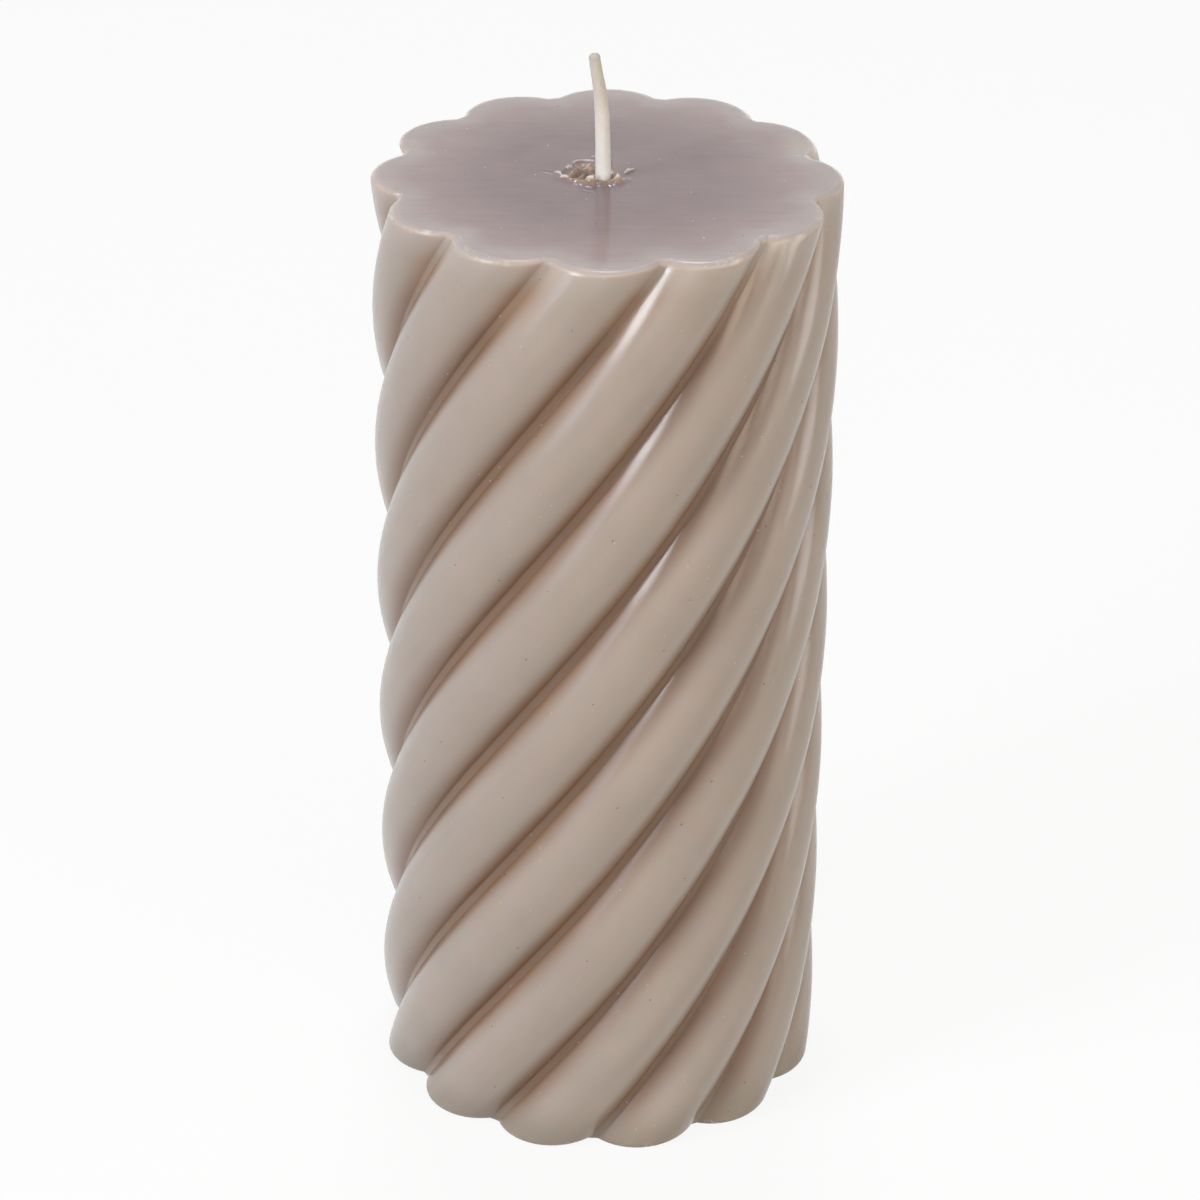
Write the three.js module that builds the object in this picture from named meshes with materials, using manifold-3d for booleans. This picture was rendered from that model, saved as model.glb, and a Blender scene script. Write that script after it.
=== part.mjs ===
// A swirl pillar candle: a cast wax body with a ring of round lobes that wind up it, a waxed
// cotton wick that runs through it from the base, and the pressed steel sustainer that grips the
// wick's foot in a recess under the base.
// Millimetres, +Z up. The origin is the centre of the flat base that the candle stands on.

import * as THREE from "three";
import { mergeVertices } from "three/addons/utils/BufferGeometryUtils.js";
import Module from "manifold-3d";

// Wax body
const BODY_HEIGHT = 150; // base to the flat top, without the wick
const TOP_DIAMETER = 68.7; // across two opposite lobes, at the top
const MOULD_DRAFT = 0.35; // how much further out the lobes stand at the base, the mould's open end
const LOBE_COUNT = 12;
const LOBE_RADIUS = 9; // round of a lobe's back
const VALLEY_FILLET = 1; // round at the foot of the groove between two lobes
const SWIRL_TURN = 197; // degrees that each lobe winds round from base to top
const FIRST_LOBE_AT_TOP = 0.5; // degrees from +X to a lobe's crest, at the top
const TOP_EDGE_ROUND = 0.9;
const BASE_EDGE_ROUND = 1.1;

// Wick, which stands a little off the body's axis
const WICK_AT_X = -0.7;
const WICK_AT_Y = -1.5;
const WICK_DIAMETER = 2.3; // where it leaves the wax, and all the way below
const WICK_TIP_DIAMETER = 1.65;
const WICK_TIP_ROUND = 0.5; // wax bead that rounds the cut end
const WICK_SHOWING = 19.3; // height of its free end above the flat top
const WICK_UPRIGHT = 7; // stretch of the free end that stands straight before it curves
const WICK_LEAN = 13; // degrees that it curves towards -X by its tip

// Pit that the casting pin left round the wick, and the lip of wax that stands up in front of it
const PIT_RADIUS = 4.3; // mean radius of the rim and of the lip's crest
const PIT_DEPTH = 1.4; // below the flat top
const PIT_WOBBLE = 0.4; // how far the broken edge strays from a circle
const LIP_AT_X = -1.8; // middle of the lip's ring, from the wick
const LIP_AT_Y = 1.9;
const LIP_HEIGHT = 0.7; // above the flat top, in front
const LIP_SUNK = 0.3; // below the flat top, behind, where there is no lip
const LIP_WIDTH = 0.9; // from its crest to its outer foot
const RIM_MIDDLE = 1.25; // middle of the pit's rim, as a share of the way from wick to lip's middle
const BOTTOM_MIDDLE = 0.4; // middle of the pit's bottom, likewise

// Wick sustainer
const TAB_DIAMETER = 15;
const SHEET_THICKNESS = 0.35;
const TAB_FLANGE_WIDTH = 2.2; // flat rim of the tab
const TAB_STEP_HEIGHT = 0.8; // how far the tab's middle is pressed up above its rim
const TAB_STEP_RUN = 0.6; // width of the slope between rim and middle
const NECK_HEIGHT = 6; // tube that is drawn up round the wick, above the tab's middle
const NECK_TAPER = 0.25; // how much wider the neck is at its root
const TAB_ABOVE_BASE = 0.3; // so that the wax and not the steel meets the table

// Clearance between a piece and the one that it is set in
const SEAT_GAP = 0.3;

// Facets
const LOBE_STEPS = 8;
const VALLEY_STEPS = 2;
const SWIRL_STEPS = 28;
const EDGE_STEPS = 3;
const SUSTAINER_STEPS = 28;
const WICK_SIDES = 14;
const WICK_CURVE_STEPS = 6;
const PIT_SIDES = 28;
const BOWL_STEPS = 4;

const WAX = { color: 0xb3a696, roughness: 0.42, metalness: 0 };
const WAXED_COTTON = { color: 0xe9dfcf, roughness: 0.6, metalness: 0 };
const TIN_PLATE = { color: 0xc9cbcc, roughness: 0.35, metalness: 1 };

const { cos, sin, PI, sqrt, atan2 } = Math;
const { degToRad, lerp } = THREE.MathUtils;

const wasm = await Module();
wasm.setup();

// Values from make(0) to make(count - 1).
function series(count, make) {
  return Array.from({ length: count }, (_, i) => make(i));
}

// Closed solid through a stack of rings that all have the same number of points. Each ring runs
// anticlockwise seen from the far end of the stack, and a fan closes each end.
function loft(rings) {
  const count = rings[0].length;
  const last = (rings.length - 1) * count;
  const middle = (ring) => ring.reduce((sum, p) => sum.add(p), new THREE.Vector3()).divideScalar(count);
  const points = [...rings.flat(), middle(rings[0]), middle(rings.at(-1))];
  const startMiddle = points.length - 2;
  const endMiddle = points.length - 1;
  const index = [];
  for (let i = 0; i < count; i += 1) {
    const next = (i + 1) % count;
    index.push(startMiddle, next, i);
    index.push(endMiddle, last + i, last + next);
    for (let start = 0; start < last; start += count) {
      const [a, b] = [start + i, start + next];
      const [c, d] = [a + count, b + count];
      // The shorter diagonal keeps the facets of a twisted wall flat.
      if (points[b].distanceTo(points[c]) < points[a].distanceTo(points[d])) {
        index.push(a, b, c, b, d, c);
      } else {
        index.push(a, b, d, a, d, c);
      }
    }
  }
  return new THREE.BufferGeometry().setFromPoints(points).setIndex(index);
}

// Solid of revolution about Z from a closed outline of [radius, height] pairs.
function revolve(outline) {
  const points = outline.map(([radius, height]) => new THREE.Vector2(radius, height));
  return new THREE.LatheGeometry(points, SUSTAINER_STEPS).rotateX(PI / 2);
}

// Quarter round of an edge, from the end face to the wall, as pairs of the distance from the end
// face and the inset of the wall.
function edgeRound(radius) {
  return series(EDGE_STEPS + 1, (i) => {
    const angle = (i / EDGE_STEPS) * (PI / 2);
    return [radius * (1 - cos(angle)), radius * (1 - sin(angle))];
  });
}

function toManifold(geometry) {
  const bare = geometry.clone();
  bare.deleteAttribute("normal");
  bare.deleteAttribute("uv");
  const merged = mergeVertices(bare);
  const vertProperties = merged.attributes.position.array;
  const triVerts = new Uint32Array(merged.index.array);
  return new wasm.Manifold(new wasm.Mesh({ numProp: 3, vertProperties, triVerts }));
}

function fromManifold(solid) {
  const { vertProperties, triVerts } = solid.getMesh();
  const position = new THREE.Float32BufferAttribute(vertProperties, 3);
  const index = new THREE.Uint32BufferAttribute(triVerts, 1);
  return new THREE.BufferGeometry().setAttribute("position", position).setIndex(index);
}

// Cross-section of the wax: round lobes joined by tangent fillets. Each round keeps its centre
// as the wall is inset, so an edge round follows the whole outline.
function lobedOutline(crest, inset) {
  const pitch = (2 * PI) / LOBE_COUNT;
  const lobeCentre = crest - LOBE_RADIUS;
  const along = lobeCentre * cos(pitch / 2);
  const centreGap = LOBE_RADIUS + VALLEY_FILLET;
  const valleyCentre = along + sqrt(along ** 2 - lobeCentre ** 2 + centreGap ** 2);
  const valleyX = valleyCentre * cos(pitch / 2);
  const valleyY = valleyCentre * sin(pitch / 2);
  // Direction, from the lobe's centre, in which the lobe passes into the fillet.
  const tangent = atan2(valleyY, valleyX - lobeCentre);
  const lobe = series(LOBE_STEPS, (i) => {
    const angle = lerp(-tangent, tangent, i / LOBE_STEPS);
    const radius = LOBE_RADIUS - inset;
    return new THREE.Vector2(lobeCentre + radius * cos(angle), radius * sin(angle));
  });
  const valley = series(VALLEY_STEPS, (i) => {
    const angle = lerp(tangent, pitch - tangent, i / VALLEY_STEPS);
    const radius = VALLEY_FILLET + inset;
    return new THREE.Vector2(valleyX - radius * cos(angle), valleyY - radius * sin(angle));
  });
  const axis = new THREE.Vector2();
  return series(LOBE_COUNT, (k) =>
    [...lobe, ...valley].map((point) => point.clone().rotateAround(axis, pitch * k)),
  ).flat();
}

// The body's cross-section at one height, turned by the swirl and widened by the mould's draft.
function swirlRing(height, inset) {
  const fromTop = 1 - height / BODY_HEIGHT;
  const crest = TOP_DIAMETER / 2 + MOULD_DRAFT * fromTop;
  const swirl = degToRad(FIRST_LOBE_AT_TOP - SWIRL_TURN * fromTop);
  const upright = new THREE.Vector3(0, 0, 1);
  return lobedOutline(crest, inset).map(({ x, y }) =>
    new THREE.Vector3(x, y, height).applyAxisAngle(upright, swirl),
  );
}

function swirlColumn() {
  const wallEnd = BODY_HEIGHT - TOP_EDGE_ROUND;
  const wallAt = (i) => lerp(BASE_EDGE_ROUND, wallEnd, (i + 1) / SWIRL_STEPS);
  const topEdge = edgeRound(TOP_EDGE_ROUND).reverse();
  return loft([
    ...edgeRound(BASE_EDGE_ROUND).map(([rise, inset]) => swirlRing(rise, inset)),
    ...series(SWIRL_STEPS - 1, (i) => swirlRing(wallAt(i), 0)),
    ...topEdge.map(([drop, inset]) => swirlRing(BODY_HEIGHT - drop, inset)),
  ]);
}

// Ring near the wick that strays from a circle by a few slow waves, as a broken edge does. Its
// centre lies at a share of the way from the wick to the lip's middle, and heightAt gives its
// height from 0 in front to 1 behind.
function brokenRing(radius, middle, heightAt) {
  return series(PIT_SIDES, (i) => {
    const angle = (i / PIT_SIDES) * 2 * PI;
    const stray = (cos(2 * angle) + sin(3 * angle) + cos(5 * angle)) / 3;
    const reach = radius * (1 + (PIT_WOBBLE / PIT_RADIUS) * stray);
    return new THREE.Vector3(
      WICK_AT_X + LIP_AT_X * middle + reach * cos(angle),
      WICK_AT_Y + LIP_AT_Y * middle + reach * sin(angle),
      heightAt((1 + sin(angle)) / 2),
    );
  });
}

// Mound whose crest is the lip in front and lies below the flat top behind.
function pitLip() {
  return loft([
    brokenRing(PIT_RADIUS + 2 * LIP_WIDTH, 1, () => BODY_HEIGHT - LIP_HEIGHT),
    brokenRing(PIT_RADIUS, 1, (behind) => BODY_HEIGHT + lerp(LIP_HEIGHT, -LIP_SUNK, behind)),
  ]);
}

// Bowl that slants down towards the wick, open above, where it thins the lip to a crest.
function pitHollow() {
  const bowl = series(BOWL_STEPS, (i) => {
    const angle = ((i + 1) / BOWL_STEPS) * (PI / 2);
    const middle = lerp(RIM_MIDDLE, BOTTOM_MIDDLE, cos(angle));
    return brokenRing(PIT_RADIUS * sin(angle), middle, () => BODY_HEIGHT - PIT_DEPTH * cos(angle));
  });
  const mouth = brokenRing(PIT_RADIUS + LIP_WIDTH, RIM_MIDDLE, () => BODY_HEIGHT + 2 * LIP_HEIGHT);
  return loft([...bowl, mouth]);
}

// Sizes that the sustainer and its seat in the wax share
const wickRadius = WICK_DIAMETER / 2;
const boreRadius = wickRadius + SEAT_GAP;
const neckTopRadius = boreRadius + SHEET_THICKNESS;
const neckRootRadius = neckTopRadius + NECK_TAPER;
const tabRadius = TAB_DIAMETER / 2;
const flangeInner = tabRadius - TAB_FLANGE_WIDTH;
const stepInner = flangeInner - TAB_STEP_RUN;
const flangeOver = TAB_ABOVE_BASE + SHEET_THICKNESS;
const middleUnder = TAB_ABOVE_BASE + TAB_STEP_HEIGHT;
const middleOver = middleUnder + SHEET_THICKNESS;
const neckTop = middleOver + NECK_HEIGHT;

// Sheet-metal tab with a pressed-up middle and a neck drawn out of it.
function sustainerGeometry() {
  return revolve([
    [tabRadius, TAB_ABOVE_BASE],
    [tabRadius, flangeOver],
    [flangeInner, flangeOver],
    [stepInner, middleOver],
    [neckRootRadius + SHEET_THICKNESS, middleOver],
    [neckRootRadius, middleOver + SHEET_THICKNESS],
    [neckTopRadius, neckTop],
    [boreRadius, neckTop],
    [boreRadius, middleOver],
    [boreRadius + SHEET_THICKNESS, middleUnder],
    [stepInner, middleUnder],
    [flangeInner, TAB_ABOVE_BASE],
    [tabRadius, TAB_ABOVE_BASE],
  ]).translate(WICK_AT_X, WICK_AT_Y, 0);
}

// What the inserts take out of the wax: the sustainer's seat, open below, and the wick's bore.
function insertHollow() {
  const below = -SEAT_GAP;
  const above = BODY_HEIGHT + 2 * LIP_HEIGHT;
  return revolve([
    [0, below],
    [tabRadius + SEAT_GAP, below],
    [tabRadius + SEAT_GAP, flangeOver + SEAT_GAP],
    [flangeInner + SEAT_GAP, flangeOver + SEAT_GAP],
    [stepInner + SEAT_GAP, middleOver + SEAT_GAP],
    [neckRootRadius + SHEET_THICKNESS + SEAT_GAP, middleOver + SEAT_GAP],
    [neckTopRadius + SEAT_GAP, neckTop + SEAT_GAP],
    [boreRadius, neckTop + SEAT_GAP],
    [boreRadius, above],
    [0, above],
  ]).translate(WICK_AT_X, WICK_AT_Y, 0);
}

function waxBodyGeometry() {
  const body = toManifold(swirlColumn())
    .add(toManifold(pitLip()))
    .subtract(toManifold(pitHollow()))
    .subtract(toManifold(insertHollow()));
  return fromManifold(body);
}

// Circle square to the wick, where its centreline is at the given height, has moved towards -X
// by shift and leans by the given angle.
function wickRing(radius, height, shift, lean) {
  return series(WICK_SIDES, (i) => {
    const angle = (i / WICK_SIDES) * 2 * PI;
    const across = radius * cos(angle);
    return new THREE.Vector3(
      WICK_AT_X - shift + across * cos(lean),
      WICK_AT_Y + radius * sin(angle),
      height + across * sin(lean),
    );
  });
}

// Straight up through the wax, then one gentle curve over which the wick also thins.
function wickGeometry() {
  const curveStart = BODY_HEIGHT + WICK_UPRIGHT;
  const tipLean = degToRad(WICK_LEAN);
  const bendRadius = (WICK_SHOWING - WICK_UPRIGHT) / sin(tipLean);
  const curveLength = bendRadius * tipLean;
  const tipRadius = WICK_TIP_DIAMETER / 2;
  const curveRing = (distance, radius) => {
    const lean = distance / bendRadius;
    return wickRing(radius, curveStart + bendRadius * sin(lean), bendRadius * (1 - cos(lean)), lean);
  };
  const stemHeights = [middleUnder, neckTop, BODY_HEIGHT / 2, BODY_HEIGHT];
  const tipEdge = edgeRound(WICK_TIP_ROUND).reverse();
  return loft([
    ...stemHeights.map((height) => wickRing(wickRadius, height, 0, 0)),
    ...series(WICK_CURVE_STEPS, (i) => {
      const share = i / WICK_CURVE_STEPS;
      return curveRing((curveLength - WICK_TIP_ROUND) * share, lerp(wickRadius, tipRadius, share));
    }),
    ...tipEdge.map(([drop, inset]) => curveRing(curveLength - drop, tipRadius - inset)),
  ]);
}

function piece(name, geometry, look) {
  const mesh = new THREE.Mesh(geometry, new THREE.MeshStandardMaterial(look));
  mesh.name = name;
  return mesh;
}

const candle = new THREE.Group();
candle.add(piece("wax_body", waxBodyGeometry(), WAX));
candle.add(piece("wick", wickGeometry(), WAXED_COTTON));
candle.add(piece("wick_sustainer", sustainerGeometry(), TIN_PLATE));

export default candle;
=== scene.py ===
"""Swirl pillar candle: the cast wax body, the waxed wick and the steel sustainer under the base.

Each of the three has a class that holds its sizes, builds its mesh and dresses it. Lengths are in
metres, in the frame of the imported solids: +Z up, the origin in the middle of the base.
"""

import logging
import math
from dataclasses import dataclass
from enum import Enum
from functools import cache
from typing import Callable, Iterable, Sequence, TypeAlias

import bpy
import numpy as np
from mathutils import Matrix, Vector


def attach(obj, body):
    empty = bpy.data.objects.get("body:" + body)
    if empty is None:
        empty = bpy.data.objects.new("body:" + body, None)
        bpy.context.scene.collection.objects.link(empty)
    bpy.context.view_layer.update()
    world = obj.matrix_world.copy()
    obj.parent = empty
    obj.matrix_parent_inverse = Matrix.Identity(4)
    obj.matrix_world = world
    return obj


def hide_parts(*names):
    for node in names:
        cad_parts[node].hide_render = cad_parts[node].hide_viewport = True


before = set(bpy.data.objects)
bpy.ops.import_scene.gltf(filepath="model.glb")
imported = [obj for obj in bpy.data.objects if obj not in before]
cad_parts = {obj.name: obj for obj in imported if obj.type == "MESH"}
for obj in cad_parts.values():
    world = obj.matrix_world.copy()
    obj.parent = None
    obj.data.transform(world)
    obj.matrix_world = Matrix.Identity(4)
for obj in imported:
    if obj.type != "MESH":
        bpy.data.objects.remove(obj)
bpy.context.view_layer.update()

MM = 0.001
TURN = 2 * math.pi
Colour: TypeAlias = tuple[float, float, float]
Span: TypeAlias = tuple[float, float]
Number: TypeAlias = "Field | float"
Value: TypeAlias = "Field | bpy.types.NodeSocket | float | str | Sequence[float]"
WHITE: Colour = (1.0, 1.0, 1.0)
WICK_AT: Span = (-0.7 * MM, -1.5 * MM)

log = logging.getLogger("swirl_candle")


# Node trees.


class Field:
    """Output of a node whose arithmetic adds Math nodes to the same tree."""

    def __init__(self, bench: "Bench", socket: bpy.types.NodeSocket) -> None:
        """Wraps one output socket of a tree."""
        self.bench = bench
        self.socket = socket

    def math(self, operation: str, *others: Number, clamp: bool = False) -> "Field":
        """Applies a Math node.

        Args:
            operation: the node's operation, such as "POWER".
            others: what fills its further inputs.
            clamp: whether the result is kept from 0 to 1.

        Returns:
            The node's result.
        """
        values = dict(enumerate((self, *others)))
        node = self.bench.add("ShaderNodeMath", values, operation=operation, use_clamp=clamp)
        return Field(self.bench, node.outputs[0])

    def __add__(self, other: Number) -> "Field":
        """Sum."""
        return self.math("ADD", other)

    def __sub__(self, other: Number) -> "Field":
        """Difference."""
        return self.math("SUBTRACT", other)

    def __mul__(self, other: Number) -> "Field":
        """Product."""
        return self.math("MULTIPLY", other)

    def __truediv__(self, other: Number) -> "Field":
        """Quotient."""
        return self.math("DIVIDE", other)

    def __rsub__(self, other: float) -> "Field":
        """Difference from a plain number."""
        return (self * -1.0) + other

    __radd__ = __add__
    __rmul__ = __mul__

    def cos(self) -> "Field":
        """Cosine of an angle in radians."""
        return self.math("COSINE")

    def sin(self) -> "Field":
        """Sine of an angle in radians."""
        return self.math("SINE")

    def squared(self) -> "Field":
        """Product with itself."""
        return self * self


class Bench:
    """Adds nodes to one tree, fills their inputs and joins them."""

    def __init__(self, tree: bpy.types.NodeTree) -> None:
        """Works on a tree that is still empty."""
        self.tree = tree
        self.entry: bpy.types.Node | None = None

    def fill(self, socket: bpy.types.NodeSocket, value: Value) -> None:
        """Joins an input to a value's output, or writes the plain value into it.

        Args:
            socket: the input.
            value: a Field, an output socket or a plain value. A plain colour has no alpha.
        """
        if isinstance(value, Field):
            self.tree.links.new(value.socket, socket)
        elif isinstance(value, bpy.types.NodeSocket):
            self.tree.links.new(value, socket)
        elif socket.type == "RGBA":
            socket.default_value = (*value, 1.0)
        else:
            socket.default_value = value

    def add(self, kind: str, inputs: dict | None = None, **settings: object) -> bpy.types.Node:
        """Adds a node.

        Args:
            kind: the node's type.
            inputs: what fills each input, by its name or place.
            settings: the node's own properties.

        Returns:
            The node.
        """
        node = self.tree.nodes.new(kind)
        for name, setting in settings.items():
            setattr(node, name, setting)
        for key, value in (inputs or {}).items():
            self.fill(node.inputs[key], value)
        return node

    def out(self, node: bpy.types.Node, key: int | str = 0) -> Field:
        """Output of a node, as a Field."""
        return Field(self, node.outputs[key])

    def given(self, name: str) -> Field:
        """Reads an input of the tree.

        Args:
            name: the input's name.

        Returns:
            Its value.
        """
        if self.entry is None:
            self.entry = self.tree.nodes.new("NodeGroupInput")
        return Field(self, self.entry.outputs[name])

    def mix(self, share: Number, a: Value, b: Value) -> Field:
        """Blends two numbers: a where the share is 0 and b where it is 1."""
        node = self.add("ShaderNodeMix", {"Factor": share, 2: a, 3: b}, data_type="FLOAT")
        return self.out(node)

    def blend(self, share: Number, a: Value, b: Value, mode: str = "MIX") -> Field:
        """Blends two colours: a where the share is 0 and b where it is 1."""
        node = self.add("ShaderNodeMix", {0: share, 6: a, 7: b}, data_type="RGBA", blend_type=mode)
        return self.out(node, 2)

    def ramp(self, value: Field, start: float, end: float) -> Field:
        """Smooth step of a value, from 0 at start to 1 at end."""
        inputs = {"Value": value, "From Min": start, "From Max": end}
        return self.out(self.add("ShaderNodeMapRange", inputs, interpolation_type="SMOOTHSTEP"))

    def scaled(self, vector: Value, scale: Value) -> Field:
        """Vector times a vector of scales."""
        node = self.add("ShaderNodeVectorMath", {0: vector, 1: scale}, operation="MULTIPLY")
        return self.out(node)

    def parts(self, vector: Value) -> list[Field]:
        """The three numbers of a vector."""
        node = self.add("ShaderNodeSeparateXYZ", {0: vector})
        return [self.out(node, axis) for axis in range(3)]

    def vector(self, *numbers: Field) -> Field:
        """Vector of two or three numbers."""
        return self.out(self.add("ShaderNodeCombineXYZ", dict(enumerate(numbers))))

    def toned(self, colour: Value, tone: Field) -> Field:
        """Colour made lighter or darker by a tone, which is 1 where it stays."""
        grey = self.add("ShaderNodeCombineColor", {i: tone for i in range(3)})
        return self.blend(1.0, colour, self.out(grey), "MULTIPLY")

    def bumped(self, relief: Field) -> Field:
        """Normal of a surface that has a relief, in millimetres."""
        inputs = {"Strength": 1.0, "Distance": MM, "Height": relief}
        return self.out(self.add("ShaderNodeBump", inputs))

    def noise(self, vector: Value, size: Number, detail: float = 3.0) -> Field:
        """Noise from 0 to 1.

        Args:
            vector: where it is read.
            size: about how wide its patches are, in the vector's unit.
            detail: how many finer layers it has.

        Returns:
            The noise.
        """
        frequency = Field(self, self.add("ShaderNodeValue").outputs[0])
        frequency.socket.default_value = 1.0
        scale = frequency / size
        node = self.add("ShaderNodeTexNoise", {"Vector": vector, "Scale": scale, "Detail": detail})
        return self.out(node)


# Sockets that hold something else than one number.
SOCKET_KINDS = {
    "Geometry": "Geometry",
    "Finish": "Material",
    "Ring Centre": "Vector",
    "Vector": "Vector",
    "Stretch": "Vector",
}


def new_tree(kind: str, name: str, inputs: Sequence[str], output: str) -> Bench:
    """Makes a node group.

    Args:
        kind: "GeometryNodeTree" or "ShaderNodeTree".
        name: the group's name.
        inputs: the name of each input.
        output: the name of its one output.

    Returns:
        The bench that works on it.
    """
    tree = bpy.data.node_groups.new(name, kind)
    for side, labels in (("INPUT", inputs), ("OUTPUT", [output])):
        for label in labels:
            socket_type = "NodeSocket" + SOCKET_KINDS.get(label, "Float")
            tree.interface.new_socket(label, in_out=side, socket_type=socket_type)
    return Bench(tree)


def finish_form(bench: Bench, geometry: Value, seam: float, stray: Field) -> None:
    """Ends a geometry tree: closed seams, some unevenness, smooth faces and the piece's finish.

    Args:
        bench: the geometry tree's bench.
        geometry: the bent grid, which is open where its sides meet.
        seam: how near to each other the points of a seam are, in metres.
        stray: how far each point strays along its normal, in metres.
    """
    closed = bench.add("GeometryNodeMergeByDistance", {"Geometry": geometry, "Distance": seam})
    normal = bench.add("GeometryNodeInputNormal").outputs[0]
    offset = bench.add("ShaderNodeVectorMath", {0: normal, "Scale": stray}, operation="SCALE")
    inputs = {"Geometry": closed.outputs[0], "Offset": offset.outputs[0]}
    uneven = bench.add("GeometryNodeSetPosition", inputs)
    soft = bench.add("GeometryNodeSetShadeSmooth", {"Geometry": uneven.outputs[0]})
    real = bench.add("GeometryNodeRealizeInstances", {"Geometry": soft.outputs[0]})
    inputs = {"Geometry": real.outputs[0], "Material": bench.given("Finish")}
    dressed = bench.add("GeometryNodeSetMaterial", inputs)
    bench.add("NodeGroupOutput", {"Geometry": dressed.outputs[0]})


def store(bench: Bench, geometry: Value, name: str, value: Field, kind: str = "FLOAT") -> Value:
    """Keeps a field as a named attribute of the points and gives the geometry that has it."""
    inputs = {"Geometry": geometry, "Name": name, "Value": value}
    return bench.add("GeometryNodeStoreNamedAttribute", inputs, data_type=kind).outputs[0]


def grid_of(bench: Bench, columns: Number, levels: Field) -> tuple[Value, Field, Field]:
    """Flat grid to be bent into a skin.

    Args:
        bench: the geometry tree's bench.
        columns: steps round the piece.
        levels: steps along its profile.

    Returns:
        The grid, each point's column and each point's level.
    """
    sides = {"Vertices X": columns + 1.0, "Vertices Y": levels + 1.0}
    grid = bench.add("GeometryNodeMeshGrid", sides)
    index = bench.out(bench.add("GeometryNodeInputIndex"))
    column = (index / (levels + 1.0)).math("FLOOR")
    level = index - column * (levels + 1.0)
    return grid.outputs[0], column, level


def profile_reader(bench: Bench, level: Field) -> Callable[[str], Field]:
    """Reads what the profile's points carry.

    Args:
        bench: the geometry tree's bench.
        level: which point of the profile is read.

    Returns:
        A function from an attribute's name to its value, or to the place for "position".
    """

    def read(name: str) -> Field:
        """Reads one attribute of the profile's point.

        Args:
            name: the attribute, or "position".

        Returns:
            Its value.
        """
        vector = name == "position"
        kind = "FLOAT_VECTOR" if vector else "FLOAT"
        if vector:
            source = bench.add("GeometryNodeInputPosition")
        else:
            source = bench.add("GeometryNodeInputNamedAttribute", {"Name": name}, data_type=kind)
        inputs = {"Geometry": bench.given("Geometry"), "Value": source.outputs[0], "Index": level}
        return bench.out(bench.add("GeometryNodeSampleIndex", inputs, data_type=kind))

    return read


SWEEP_INPUTS = (
    "Geometry", "Lobes", "Lobe Steps", "Valley Steps", "Lobe Radius", "Valley Fillet",
    "Floor Roundness", "Crest Radius", "Draft", "Height", "Swirl Turn", "First Lobe",
    "Ring Centre", "Levels", "Unevenness", "Finish",
)


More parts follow.
